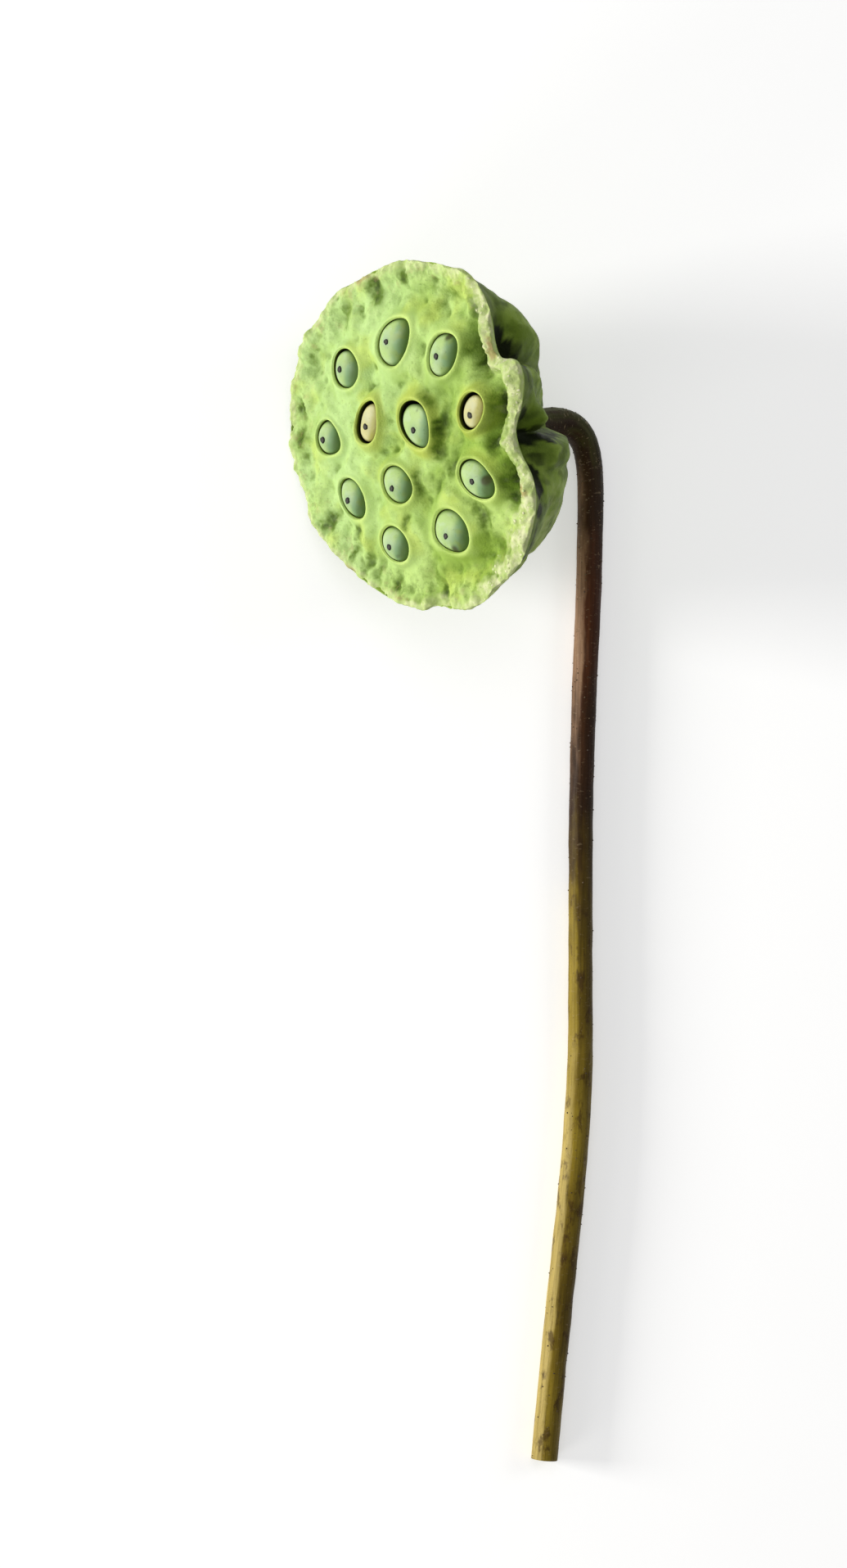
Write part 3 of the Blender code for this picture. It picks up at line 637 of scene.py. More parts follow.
def lay_face(skin):
    """The face with the mouths of its pits. Gives the numbers of the rim and of each mouth."""
    flat = []

    def numbered(more):
        flat.extend(more)
        return list(range(len(flat) - len(more), len(flat)))

    rim = numbered(around(lambda a: rim_at(a, 1), RIM_SIDES))
    for share in RIM_SHARES:
        numbered(around(lambda a: rim_at(a, 1), RIM_SIDES, share))
    mouths = []
    for pit in PITS:
        mouths.append(numbered(pit_outline(pit, 1.0, PIT_SIDES)))
        for scale in MOUTH_SCALES:
            numbered(pit_outline(pit, scale, PIT_SIDES))
    numbered(face_grid())
    points, marks = [], []
    for x, y in flat:
        height, own = face_point(x, y)
        points.append((x, y, height))
        marks.append(own)
    skin.add(points, marks)
    skin.faces.extend(triangulated(flat, [rim, *mouths], on_face))
    return rim, mouths


def sink_pit(skin, pit, mouth):
    """A pit's inside, from its mouth down to its floor."""
    level = mouth_level(pit)
    stations = [(0.0, 1.0)] + list(PIT_WALL)
    ring = mouth
    for i in range(1, len(stations)):
        before, start = stations[max(0, i - 2)], stations[i - 1]
        end, after = stations[i], stations[min(i + 1, len(stations) - 1)]
        for step in range(1, PIT_RINGS_PER_STEP + 1):
            t = step / PIT_RINGS_PER_STEP
            depth = PIT_DEPTH * (start[0] + (end[0] - start[0]) * t)
            scale = through(before[1], start[1], end[1], after[1], t)
            points = []
            for n, (x, y) in enumerate(pit_outline(pit, scale, PIT_SIDES)):
                own_level = level
                if i == 1:
                    own_level += (skin.points[mouth[n]][2] - level) * (1.0 - t)
                points.append((x, y, own_level - depth))
            marks = {"pit": smooth_step(0.2, 1.5, depth), "lip_and_highlight": 0.4, "mound": max(0.0, pit[6] - 0.4)}
            below = skin.add(points, marks)
            skin.join(ring, below)
            ring = below
    (floor,) = skin.add([(pit[0], pit[1], level - PIT_DEPTH)], {"pit": 1.0})
    for i in range(PIT_SIDES):
        skin.faces.append((ring[i - 1], ring[i], floor))


def brim_profile(angle):
    """The rim's section from the face round to the undercut, as (radius, height)."""
    edge, lift = rim_at(angle, 1), rim_at(angle, 2)
    section = [(edge, lift)]
    section += [(edge + out, lift + height) for out, height in RIM_EDGE]
    section.append((edge - 0.5 * overhang(angle), 0.6 * lift - BRIM_DEPTH))
    section.append((wall_radius(angle, UNDERCUT_DEPTH), -UNDERCUT_DEPTH))
    section.append((wall_radius(angle, WALL[0][0]), -WALL[0][0]))
    return section


def painted_wall_shade(angle, depth):
    """How dark the painted shade in the wall's cracks and hollows makes it, from 0 to 1."""
    if depth > PAINTED_SHADE_REACH:
        return 0.0
    turn = math.radians(angle)
    place = (40.0 * math.cos(turn), 40.0 * math.sin(turn), depth)
    angle += 1.6 * grain(place, 2.6, 16) + 0.7 * grain(place, 1.0, 17)
    depth += 1.0 * grain(place, 2.6, 18) + 0.4 * grain(place, 1.0, 19)
    shade = 0.0
    for at, down, wide, high, strength in PAINTED_WALL_SHADOWS:
        away = (turn_between(angle, at) / wide) ** 2 + ((depth - down) / high) ** 2
        if away < 4.0:
            shade = max(shade, strength * smooth_step(1.35, 0.7, away))
    return shade


def painted_pleat_shade(angle, depth):
    """Painted shade in a pleat: dark in its deepest part, and near the brim where little light comes."""
    pleat = pleat_depth(angle, depth)
    near_brim = smooth_step(16.0, 8.0, depth)
    return max(0.5 * smooth_step(3.0, 7.0, pleat), 0.75 * near_brim * smooth_step(1.4, 3.0, pleat))


def middle_of_lobe(angle):
    """1 on the crests of the wall's bulges, 0 between them."""
    return min(1.0, sum(bell(turn_between(angle, at), wide) for at, wide, high in BULGES if high > 0.0))


def roll_brim(skin, rim):
    """The rim's edge and its under side, down to where the wall starts."""
    angles = [360.0 * i / RIM_SIDES for i in range(RIM_SIDES)]
    sections = [brim_profile(angle) for angle in angles]
    steps = len(sections[0]) - 1
    ring = rim
    for step in range(steps):
        for part in range(1, EDGE_RINGS_PER_STEP + 1):
            t = part / EDGE_RINGS_PER_STEP
            points, marks = [], []
            for n, (angle, section) in enumerate(zip(angles, sections)):
                four = [section[min(steps, max(0, k))] for k in (step - 1, step, step + 1, step + 2)]
                radius, height = (through(*(p[c] for p in four), t) for c in (0, 1))
                turn = math.radians(angle)
                x, y = radius * math.cos(turn), radius * math.sin(turn)
                along = (step + t) / steps
                if step == 0:
                    height += (skin.points[rim[n]][2] - section[0][1]) * (1.0 - t)
                fray = FRAY_HEIGHT * (1.0 - smooth_step(0.08, 0.28, along))
                fray *= grain((x, y, 2.0 * height), FRAY_SIZE, 4) + 0.3 * grain((x, y, height), 0.5, 5)
                radius += fray
                points.append((radius * math.cos(turn), radius * math.sin(turn), height))
                # Painted shade under the brim, and the wall's painted shade close to it.
                under = smooth_step(0.4, 0.6, along) * (1.0 - smooth_step(0.72, 0.97, along))
                dark = max(0.45 * under, painted_wall_shade(angle, -height) * smooth_step(0.3, 0.45, along))
                marks.append({
                    "frost": 1.0 - smooth_step(0.1, 0.24, along + 0.1 * fray),
                    "chalk": smooth_step(1.6, 4.6, frost_width(angle)),
                    "wall": smooth_step(0.14, 0.3, along),
                    "painted_shade": dark,
                    # Paler towards the side the light comes from: painted light.
                    "painted_light_side": smooth_step(34.0, -30.0, x - 0.35 * y),
                })
            below = skin.add(points, marks)
            skin.join(ring, below)
            ring = below
    return ring


def hang_wall(skin, ring):
    """The wall from under the brim down to the neck, closed there."""
    count = int((NECK_DEPTH - WALL[0][0]) / WALL_STEP)
    for step in range(1, count + 1):
        depth = WALL[0][0] + (NECK_DEPTH - WALL[0][0]) * step / count
        ease = smooth_step(0.0, 5.0, depth - WALL[0][0])
        ease *= 1.0 - smooth_step(NECK_DEPTH - 8.0, NECK_DEPTH - 0.5, depth)
        points, marks = [], []
        for i in range(RIM_SIDES):
            angle = 360.0 * i / RIM_SIDES
            turn = math.radians(angle)
            radius = wall_radius(angle, depth)
            place = (radius * math.cos(turn), radius * math.sin(turn), -depth)
            radius += ease * WALL_LUMP_HEIGHT * grain(place, WALL_LUMP_SIZE, 6)
            radius += ease * WALL_CURD_HEIGHT * grain(place, WALL_CURD_SIZE, 7)
            rib = noise.noise(Vector((
                math.cos(turn) * 40.0 / RIB_SPACING, math.sin(turn) * 40.0 / RIB_SPACING, depth / 30.0)))
            radius += ease * RIB_HEIGHT * rib
            points.append((radius * math.cos(turn), radius * math.sin(turn), -depth))
            # Painted shade in the wall's cracks and pleats.
            dark = max(painted_wall_shade(angle, depth), painted_pleat_shade(angle, depth))
            # Painted sheen on the crests of the wall's lobes.
            marks.append({"wall": 1.0, "painted_shade": dark, "painted_sheen": max(0.0, middle_of_lobe(angle))})
        below = skin.add(points, marks)
        skin.join(ring, below)
        ring = below
    (middle,) = skin.add([(0.0, 0.0, -NECK_DEPTH)], {"wall": 1.0})
    for i in range(RIM_SIDES):
        skin.faces.append((ring[i - 1], ring[i], middle))


def head_rotation():
    """The head frame's axes in the pod frame."""
    out = Vector((
        math.cos(FACE_ELEVATION) * math.cos(FACE_HEADING),
        math.cos(FACE_ELEVATION) * math.sin(FACE_HEADING),
        math.sin(FACE_ELEVATION),
    ))
    level = out.cross(Vector((0.0, 0.0, 1.0))).normalized()
    upward = level.cross(out)
    basis = Matrix((upward, out.cross(upward), out)).transposed()
    return basis @ Matrix.Rotation(FACE_ROLL, 3, "Z")


HEAD = head_rotation()


def from_head(point):
    """A point of the head frame, in the pod frame."""
    return HEAD @ Vector(point) + Vector((0.0, 0.0, FACE_HEIGHT))


def new_piece(name, points, faces, materials, marks=None, face_materials=None):
    """A mesh from points of the pod frame, with its place in the mesh and its marks on it."""
    mesh = bpy.data.meshes.new(name)
    place = Vector((*POD_PLACE, 0.0))
    placed = [(Vector(p) + place) * MM for p in points]
    mesh.from_pydata([(p.x, p.y, max(0.0, p.z)) for p in placed], [], faces)
    for material in materials:
        mesh.materials.append(material)
    if face_materials is not None:
        mesh.polygons.foreach_set("material_index", face_materials)
    for mark, values in (marks or {}).items():
        layer = mesh.attributes.new(mark, "FLOAT", "POINT")
        layer.data.foreach_set("value", np.array(values, np.float32))
    form = bmesh.new()
    form.from_mesh(mesh)
    bmesh.ops.recalc_face_normals(form, faces=form.faces)
    form.to_mesh(mesh)
    form.free()
    mesh.shade_smooth()
    piece = bpy.data.objects.new(name, mesh)
    bpy.context.scene.collection.objects.link(piece)
    return piece


def ride_root(piece, slot, *nodes):
    """Ties a finished piece to the part: its body and the nodes it stands for, which it hides. The slot
    argument is not used.
    """
    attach(piece, "root")
    if nodes:
        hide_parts(*nodes)


class Finish:
    """A procedural material, built up from fields that follow the piece's object coordinates."""

    def __init__(self, name, roughness):
        self.material = bpy.data.materials.new(name)
        self.material.use_nodes = True
        self.nodes = self.material.node_tree.nodes
        self.links = self.material.node_tree.links
        self.shader = self.nodes["Principled BSDF"]
        self.shader.inputs["Roughness"].default_value = roughness
        self.shader.inputs["Metallic"].default_value = 0.0
        self.place = self.nodes.new("ShaderNodeTexCoord").outputs["Object"]

    def feed(self, socket, value):
        if isinstance(value, bpy.types.NodeSocket):
            self.links.new(value, socket)
        else:
            socket.default_value = value

    def mark(self, name):
        node = self.nodes.new("ShaderNodeAttribute")
        node.attribute_name = name
        return node.outputs["Fac"]

    def vector_mark(self, name):
        node = self.nodes.new("ShaderNodeAttribute")
        node.attribute_name = name
        return node.outputs["Vector"]

    def noise(self, size, detail=3.0, rough=0.55, warp=0.0, place=None, stretch=(1.0, 1.0, 1.0)):
        """A noise field with lumps of a size in millimetres, stretched along an axis."""
        mapping = self.nodes.new("ShaderNodeMapping")
        mapping.inputs["Scale"].default_value = [1.0 / s for s in stretch]
        self.links.new(place or self.place, mapping.inputs["Vector"])
        node = self.nodes.new("ShaderNodeTexNoise")
        node.inputs["Scale"].default_value = 1.0 / (size * MM)
        node.inputs["Detail"].default_value = detail
        node.inputs["Roughness"].default_value = rough
        node.inputs["Distortion"].default_value = warp
        self.links.new(mapping.outputs["Vector"], node.inputs["Vector"])
        return node.outputs["Fac"]

    def cells(self, size, place=None):
        """Distance to the nearest of scattered points, in cells of a size in millimetres."""
        node = self.nodes.new("ShaderNodeTexVoronoi")
        node.inputs["Scale"].default_value = 1.0 / (size * MM)
        self.links.new(place or self.place, node.inputs["Vector"])
        return node.outputs["Distance"]

    def span(self, value, low, high, to_low=0.0, to_high=1.0):
        node = self.nodes.new("ShaderNodeMapRange")
        node.interpolation_type = "SMOOTHSTEP"
        for socket, given in zip(node.inputs[:5], (value, low, high, to_low, to_high)):
            self.feed(socket, given)
        return node.outputs["Result"]

    def sum_of(self, a, b, operation="ADD"):
        node = self.nodes.new("ShaderNodeMath")
        node.operation = operation
        self.feed(node.inputs[0], a)
        self.feed(node.inputs[1], b)
        return node.outputs[0]

    def product(self, a, b):
        return self.sum_of(a, b, "MULTIPLY")

    def blend(self, share, a, b, mode="MIX"):
        node = self.nodes.new("ShaderNodeMix")
        node.data_type = "RGBA"
        node.blend_type = mode
        self.feed(node.inputs["Factor"], share)
        self.feed(node.inputs[6], a)
        self.feed(node.inputs[7], b)
        return node.outputs[2]

    def ramp(self, value, stops):
        node = self.nodes.new("ShaderNodeValToRGB")
        node.color_ramp.interpolation = "EASE"
        elements = node.color_ramp.elements
        while len(elements) > 1:
            elements.remove(elements[-1])
        elements[0].position, elements[0].color = stops[0]
        for position, colour in stops[1:]:
            elements.new(position).color = colour
        self.feed(node.inputs["Fac"], value)
        return node.outputs["Color"]

    def bump(self, height, depth, under=None):
        """Fine relief that is too small for the mesh, with its depth in millimetres."""
        node = self.nodes.new("ShaderNodeBump")
        node.inputs["Distance"].default_value = depth * MM
        node.inputs["Strength"].default_value = 1.0
        self.feed(node.inputs["Height"], height)
        if under is not None:
            self.links.new(under, node.inputs["Normal"])
        return node.outputs["Normal"]

    def done(self, colour, normal, roughness=None):
        self.feed(self.shader.inputs["Base Color"], colour)
        self.links.new(normal, self.shader.inputs["Normal"])
        if roughness is not None:
            self.feed(self.shader.inputs["Roughness"], roughness)
        return self.material


def pod_skin_finish():
    """The head's skin: lime and spongy on the face, frosted at the rim, darker on the wall partly as painted
    shade, with painted shade in hollows, cracks, pleats and pits, and painted light and sheen.
    """
    f = Finish("pod_skin", 0.62)
    broad = f.noise(15.0, 2.0)
    curdled = f.noise(2.6, 4.0, 0.6)
    fine = f.noise(0.8, 3.0, 0.6)
    face = f.blend(f.span(broad, 0.4, 0.6), GRASS, LIME)
    # Painted light: paler towards the side the light comes from.
    face = f.blend(f.product(f.mark("painted_light_side"), f.span(f.noise(9.0), 0.3, 0.6, 0.5, 1.0)), face, PALE_LIME)
    face = f.blend(f.span(f.noise(12.0, 2.0), 0.5, 0.68, 0.0, 0.6), face, YELLOW_LIME)
    # Pale lips round the mouths: partly their own colour, partly a painted highlight on the slope that faces
    # the light.
    face = f.blend(f.product(f.mark("lip_and_highlight"), 0.7), face, LIP_GREEN)
    face = f.blend(f.span(f.mark("mound"), 0.1, 0.9, 0.0, 0.55), face, MOUND_YELLOW)
    # Painted shade in the face's hollows, mottled, and deepest in the deepest of them.
    mottled_hollow_shade = f.product(f.span(f.mark("shaded_hollow"), 0.05, 0.6), f.span(curdled, 0.3, 0.62, 0.45, 0.9))
    face = f.blend(mottled_hollow_shade, face, MOSS)
    face = f.blend(f.span(f.mark("shaded_hollow"), 0.45, 1.0, 0.0, 0.85), face, HOLLOW_SHADE_GREEN)
    mottle = f.product(f.span(f.noise(2.3, 3.0, 0.6), 0.44, 0.68), f.mark("bare"))
    mottle = f.product(mottle, f.span(f.mark("margin"), 0.0, 1.0, 0.28, 0.62))
    # Fainter mottle on the side towards the light, as part of the painted light.
    mottle = f.product(mottle, f.span(f.mark("painted_light_side"), 0.0, 1.0, 1.0, 0.5))
    face = f.blend(mottle, face, MOSS)
    ochre = f.product(f.span(f.noise(3.4, 4.0, 0.65), 0.54, 0.68), f.mark("margin"))
    face = f.blend(f.product(ochre, 0.35), face, RUST)
    speck = f.product(f.span(fine, 0.56, 0.72), f.mark("bare"))
    face = f.blend(f.product(speck, 0.35), face, MOSS)
    crust = f.blend(f.span(f.noise(3.2, 4.0, 0.62), 0.38, 0.62), PALE_GREEN, CREAM)
    crust = f.blend(f.span(f.mark("chalk"), 0.0, 1.0, 0.35, 0.0), crust, LIME)
    crust = f.blend(f.span(f.mark("rust"), 0.1, 0.8), crust, RUST)
    face = f.blend(f.product(f.mark("frost"), f.span(curdled, 0.35, 0.6, 0.5, 0.95)), face, crust)
    wall = f.blend(f.span(f.noise(7.0, 2.0, 0.5, 0.4), 0.42, 0.62), WALL_GREEN, WALL_PALE)
    wall = f.blend(f.span(f.noise(5.2, 2.0, 0.5, 0.3), 0.46, 0.7, 0.0, 0.7), wall, WALL_DARK)
    # Painted sheen on the crests of the wall's lobes.
    painted_sheen = f.product(f.mark("painted_sheen"), f.span(f.noise(3.4, 3.0), 0.45, 0.6, 0.1, 0.5))
    wall = f.blend(painted_sheen, wall, PAINTED_WALL_SHEEN)
    skin = f.blend(f.mark("wall"), face, wall)
    # Painted shade in the wall's cracks and pleats and under the brim.
    skin = f.blend(f.product(f.mark("painted_shade"), 0.96), skin, PAINTED_SHADE_DARK)
    # Pit insides darken with depth: painted shade.
    inside = f.blend(f.mark("pit"), PIT_OLIVE, PAINTED_PIT_SHADE)
    skin = f.blend(f.span(f.mark("pit"), 0.0, 0.05), skin, inside)
    pores = f.bump(f.cells(0.55), 0.05)
    normal = f.bump(f.noise(0.45, 3.0, 0.6), 0.11, pores)
    f.shader.inputs["Subsurface Weight"].default_value = 0.08
    f.shader.inputs["Subsurface Radius"].default_value = (0.9, 1.2, 0.4)
    f.shader.inputs["Subsurface Scale"].default_value = 0.0008
    f.shader.inputs["Specular IOR Level"].default_value = 0.16
    return f.done(skin, normal, f.span(curdled, 0.3, 0.7, 0.52, 0.72))


def crumb_finish():
    f = Finish("rim_crumb", 0.8)
    colour = f.blend(f.span(f.noise(2.6, 3.0), 0.4, 0.6), CREAM, PALE_GREEN)
    return f.done(colour, f.bump(f.noise(0.2, 2.0), 0.05))


def nut_finish(name, crown, leaf, side, low, olive, halo):
    """A nut's waxy skin, pale with bloom on one side and greener and darker towards the other and its waist:
    partly its own colour, partly painted shade.
    """
    f = Finish(name, 0.42)
    bloom = f.noise(4.0, 3.0, 0.6, 0.3)
    warm = f.noise(5.0, 2.0)
    skin = f.blend(f.span(bloom, 0.4, 0.62), leaf, crown)
    # Greener and darker away from the light: partly the nut's own colour, partly painted shade.
    skin = f.blend(f.span(f.mark("greener_shaded_side"), 0.05, 0.6, 0.0, 0.9), skin, side)
    skin = f.blend(f.product(f.span(warm, 0.5, 0.66), f.mark("greener_shaded_side")), skin, olive)
    skin = f.blend(f.span(f.mark("greener_shaded_side"), 0.5, 1.0, 0.0, 0.85), skin, low)
    # Darker towards the waist, down into the pit: partly the nut's own colour, partly painted shade.
    skin = f.blend(f.span(f.mark("waist_green_and_shade"), 0.35, 0.95, 0.0, 0.9), skin, low)
    skin = f.blend(f.span(f.noise(0.9, 2.0), 0.62, 0.74, 0.0, 0.25), skin, low)
    skin = f.blend(f.product(f.mark("halo"), 0.4), skin, halo)
    skin = f.blend(f.span(f.mark("blemish"), 0.2, 0.8, 0.0, 0.9), skin, BLEMISH)
    f.shader.inputs["Specular IOR Level"].default_value = 0.3
    return f.done(skin, f.bump(f.noise(0.6, 3.0), 0.05), f.span(bloom, 0.3, 0.7, 0.44, 0.6))


def tip_finish():
    f = Finish("stigma_tip", 0.6)
    colour = f.blend(f.mark("heart"), TIP_BROWN, TIP_HEART)
    return f.done(colour, f.bump(f.noise(0.25, 2.0), 0.06))


STEM_NECK = tint(74, 76, 28)
STEM_UMBER = tint(54, 33, 12)
STEM_RUSSET = tint(82, 42, 15)
STEM_KHAKI = tint(108, 88, 20)
STEM_GOLD = tint(150, 128, 38)
STEM_ROSE = tint(145, 112, 84)
STEM_STRAW = tint(186, 164, 90)
# The stem's colour from the head, 0, to the cut end, 1: along its middle, and on its side towards the light,
# which is painted paler as a painted highlight.
# In both ramps the dark stretch near 0.4 is partly the stem's own brown and partly a painted cast shadow.
STEM_STOPS = (
    (0.0, STEM_NECK), (0.07, STEM_UMBER), (0.24, STEM_RUSSET), (0.4, STEM_UMBER),
    (0.56, STEM_KHAKI), (0.7, STEM_GOLD), (0.84, STEM_KHAKI), (1.0, STEM_GOLD),
)
STEM_LIT_STOPS = (
    (0.0, STEM_NECK), (0.08, STEM_UMBER), (0.18, STEM_ROSE), (0.28, STEM_ROSE),
    (0.38, STEM_UMBER), (0.54, STEM_GOLD), (0.7, STEM_STRAW), (1.0, STEM_STRAW),
)
STEM_BROWN = tint(62, 38, 14)
# Darkens the side away from the light as painted shade, and the fibres as their own colour.
STEM_DARK = tint(70, 60, 40)
STEM_FLECK = tint(188, 166, 132)
PITH_GREEN = tint(160, 160, 96)
PITH_PALE = tint(196, 194, 132)


def stem_finish():
    """The stem's skin: brown at the head, olive at the cut end, with fibres along it."""
    f = Finish("stem_skin", 0.5)
    straight = f.vector_mark("straight")
    drift = f.noise(9.0, 3.0, 0.6, place=straight, stretch=(1.0, 1.0, 3.0))
    along = f.sum_of(f.mark("along"), f.span(drift, 0.3, 0.7, -0.05, 0.05))
    streaks = f.noise(2.4, 3.0, place=straight, stretch=(1.0, 1.0, 6.0))
    # The side towards the light is painted paler: painted highlight.
    side = f.sum_of(f.mark("painted_lit_side"), f.span(streaks, 0.3, 0.7, -0.3, 0.3))
    skin = f.blend(f.span(side, 0.15, 0.9), f.ramp(along, STEM_STOPS), f.ramp(along, STEM_LIT_STOPS))
    # Painted shade on the side away from the light.
    skin = f.blend(f.product(f.mark("painted_shaded_side"), 0.45), skin, STEM_DARK, "MULTIPLY")
    # Darker patches from 0.36 to 0.56 along: partly blotches, partly a painted cast shadow.
    patches = f.noise(3.0, 4.0, 0.62, 0.3, place=straight, stretch=(1.0, 1.0, 2.2))
    patch = f.product(f.span(patches, 0.52, 0.66, 0.0, 0.7), f.span(f.mark("along"), 0.36, 0.56))
    skin = f.blend(patch, skin, STEM_BROWN)
    fibre = f.noise(0.7, 3.0, 0.6, place=straight, stretch=(1.0, 1.0, 26.0))
    skin = f.blend(f.span(fibre, 0.35, 0.7, 0.0, 0.35), skin, STEM_DARK, "MULTIPLY")
    fleck = f.span(f.noise(0.75, 3.0, 0.6, place=straight, stretch=(2.0, 2.0, 1.0)), 0.6, 0.7)
    skin = f.blend(f.product(fleck, f.span(f.mark("along"), 0.05, 0.3, 0.28, 0.14)), skin, STEM_FLECK)
    dots = f.span(f.cells(1.7, place=straight), 0.0, 0.16, 1.0, 0.0)
    skin = f.blend(f.product(dots, 0.45), skin, STEM_BROWN)
    skin = f.blend(f.mark("pith"), skin, f.blend(f.noise(0.5), PITH_GREEN, PITH_PALE))
    grooves = f.bump(fibre, 0.14)
    wrinkle = f.noise(0.8, 3.0, 0.6, 0.2, place=straight, stretch=(2.6, 2.6, 0.8))
    normal = f.bump(wrinkle, 0.12, grooves)
    f.shader.inputs["Specular IOR Level"].default_value = 0.15
    return f.done(skin, normal, f.span(fibre, 0.3, 0.7, 0.44, 0.6))


def prickle_finish():
    f = Finish("stem_prickle", 0.55)
    colour = f.blend(f.span(f.noise(3.0, 2.0), 0.4, 0.6), tint(96, 78, 48), tint(60, 42, 24))
    return f.done(colour, f.bump(f.noise(0.3), 0.03))


def make_receptacle():
    skin = Skin()
    rim, mouths = lay_face(skin)
    for pit, mouth in zip(PITS, mouths):
        sink_pit(skin, pit, mouth)
    ring = roll_brim(skin, rim)
    hang_wall(skin, ring)
    points = [from_head(p) for p in skin.points]
    return new_piece("receptacle_skin", points, skin.faces, [pod_skin_finish()], skin.marks)


def nut_scale(level, top, bottom):
    """A nut's width at a level, as a share of its widest."""
    reach = top + NUT_WAIST if level > -NUT_WAIST else -NUT_WAIST - bottom
    share = min(1.0, abs(level + NUT_WAIST) / abs(reach))
    return max(0.0, 1.0 - share ** NUT_FULLNESS) ** 0.5


# The stub of the stigma on a nut: radius, height over the nut, share of the pale heart.
TIP_PROFILE = ((0.9, -0.03, 0.0), (0.76, 0.03, 0.0), (0.7, 0.16, 0.0), (0.58, 0.28, 0.0),
               (0.4, 0.22, 0.5), (0.18, 0.06, 1.0))


def make_nut(number, pit, skin_material, tip_material):
    """A nut in its pit, with the stub of the stigma standing on its tip."""
    half_width, angle = pit[3:5]
    lower, narrower, shift_x, shift_y = LOOSE_NUTS.get(number, SNUG_NUT)
    top = pit[7] + NUT_STANDS_OUT - lower
    bottom = -(PIT_DEPTH * PIT_WALL[-1][0] - NUT_SEAT_GAP)
    slack = (half_width - NUT_SLACK - narrower) / half_width
    own_outline = (0.0, 0.0, pit[2], half_width, 0.0, *pit[5:])
    turn = math.radians(angle)
    cos, sin = math.cos(turn), math.sin(turn)
    tip_x, tip_y = pit[8] * cos + pit[9] * sin, pit[9] * cos - pit[8] * sin
    place = Vector((pit[0] + shift_x, pit[1] + shift_y, mouth_level(pit)))

    def in_head(x, y, z):
        return place + Vector((x * cos - y * sin, x * sin + y * cos, z))

    levels = [bottom + (-NUT_WAIST - bottom) * (i / 14.0) ** 1.6 for i in range(1, 14)]
    levels += [
        -NUT_WAIST + (top + NUT_WAIST) * math.sin(0.5 * math.pi * i / NUT_DOME_RINGS)
        for i in range(NUT_DOME_RINGS)
    ]
    points, faces = [in_head(0.0, 0.0, bottom)], []
    marks = {"waist_green_and_shade": [1.0], "greener_shaded_side": [1.0], "halo": [0.0], "heart": [0.0], "blemish": [0.0]}
    tip_at = in_head(tip_x, tip_y, top)
    ring = None
    for level in levels:
        share = nut_scale(level, top, bottom)
        drift = (1.0 - share) ** 1.4 if level > -NUT_WAIST else 0.0
        start = len(points)
        for x, y in pit_outline(own_outline, slack * share, NUT_SIDES):
            x, y = x + drift * tip_x, y + drift * tip_y
            wobble = 0.1 * grain((x + 9.0 * number, y, level), 3.0, 8)
            at = in_head(x, y, level + wobble)
            points.append(at)
            # Darker towards the waist: partly the nut's own colour, partly painted shade.
            marks["waist_green_and_shade"].append(smooth_step(top, -1.0, level))
            # Rises away from the light: partly the nut's own greener colour, partly painted shade.
            away = (at.x - tip_at.x) - 0.35 * (at.y - tip_at.y)
            marks["greener_shaded_side"].append(smooth_step(-0.1 * half_width, 1.25 * half_width, away))
            marks["halo"].append(bell(math.hypot(x - tip_x, y - tip_y), 2.0))
            marks["heart"].append(0.0)
            marks["blemish"].append(max(spot[5] * in_oval(at.x, at.y, spot) for spot in BLEMISHES))
        above = list(range(start, len(points)))
        if ring is None:
            faces.extend((above[i - 1], 0, above[i]) for i in range(NUT_SIDES))
        else:
            faces.extend((ring[i - 1], ring[i], above[i], above[i - 1]) for i in range(NUT_SIDES))
        ring = above
    skin_faces = len(faces)
    for radius, height, heart in TIP_PROFILE:
        start = len(points)
        for i in range(NUT_SIDES):
            a = math.tau * i / NUT_SIDES
            ragged = radius * (1.0 + 0.22 * grain((math.cos(a), math.sin(a), 3.0 * number), 0.8, 20))
            points.append(in_head(tip_x + ragged * math.cos(a), tip_y + ragged * math.sin(a), top + height))
            marks["waist_green_and_shade"].append(0.0)
            marks["greener_shaded_side"].append(0.0)
            marks["halo"].append(1.0)
            marks["heart"].append(heart)
            marks["blemish"].append(0.0)
        above = list(range(start, len(points)))
        faces.extend((ring[i - 1], ring[i], above[i], above[i - 1]) for i in range(NUT_SIDES))
        ring = above
        if height < 0.0:
            skin_faces = len(faces)
    faces.append(tuple(ring))
    which = [0] * skin_faces + [1] * (len(faces) - skin_faces)
    placed = [from_head(p) for p in points]
    return new_piece(f"nut_skin_{number:02d}", placed, faces, [skin_material, tip_material], marks, which)


def stem_line():
    """Points and radii of the stem's centre line, every STEM_STEP or so, in the pod frame."""
    last = len(STEM_ROUTE) - 1
    line = []
    for i in range(last):
        four = [STEM_ROUTE[min(last, max(0, k))] for k in (i - 1, i, i + 1, i + 2)]
        gap = (Vector(STEM_ROUTE[i + 1][:3]) - Vector(STEM_ROUTE[i][:3])).length
        steps = max(2, round(gap / STEM_STEP))
        for step in range(steps):
            line.append([through(*(p[c] for p in four), step / steps) for c in range(4)])
    line.append(list(STEM_ROUTE[last]))
    return line


def new_tree(name, inputs):
    """A node tree with a geometry input and output, and named inputs for its sizes."""
    tree = bpy.data.node_groups.new(name, "GeometryNodeTree")
    tree.interface.new_socket("Geometry", in_out="INPUT", socket_type="NodeSocketGeometry")
    for label, kind in inputs:
        tree.interface.new_socket(label, in_out="INPUT", socket_type=kind)
    tree.interface.new_socket("Geometry", in_out="OUTPUT", socket_type="NodeSocketGeometry")
    return tree, tree.nodes.new("NodeGroupInput").outputs


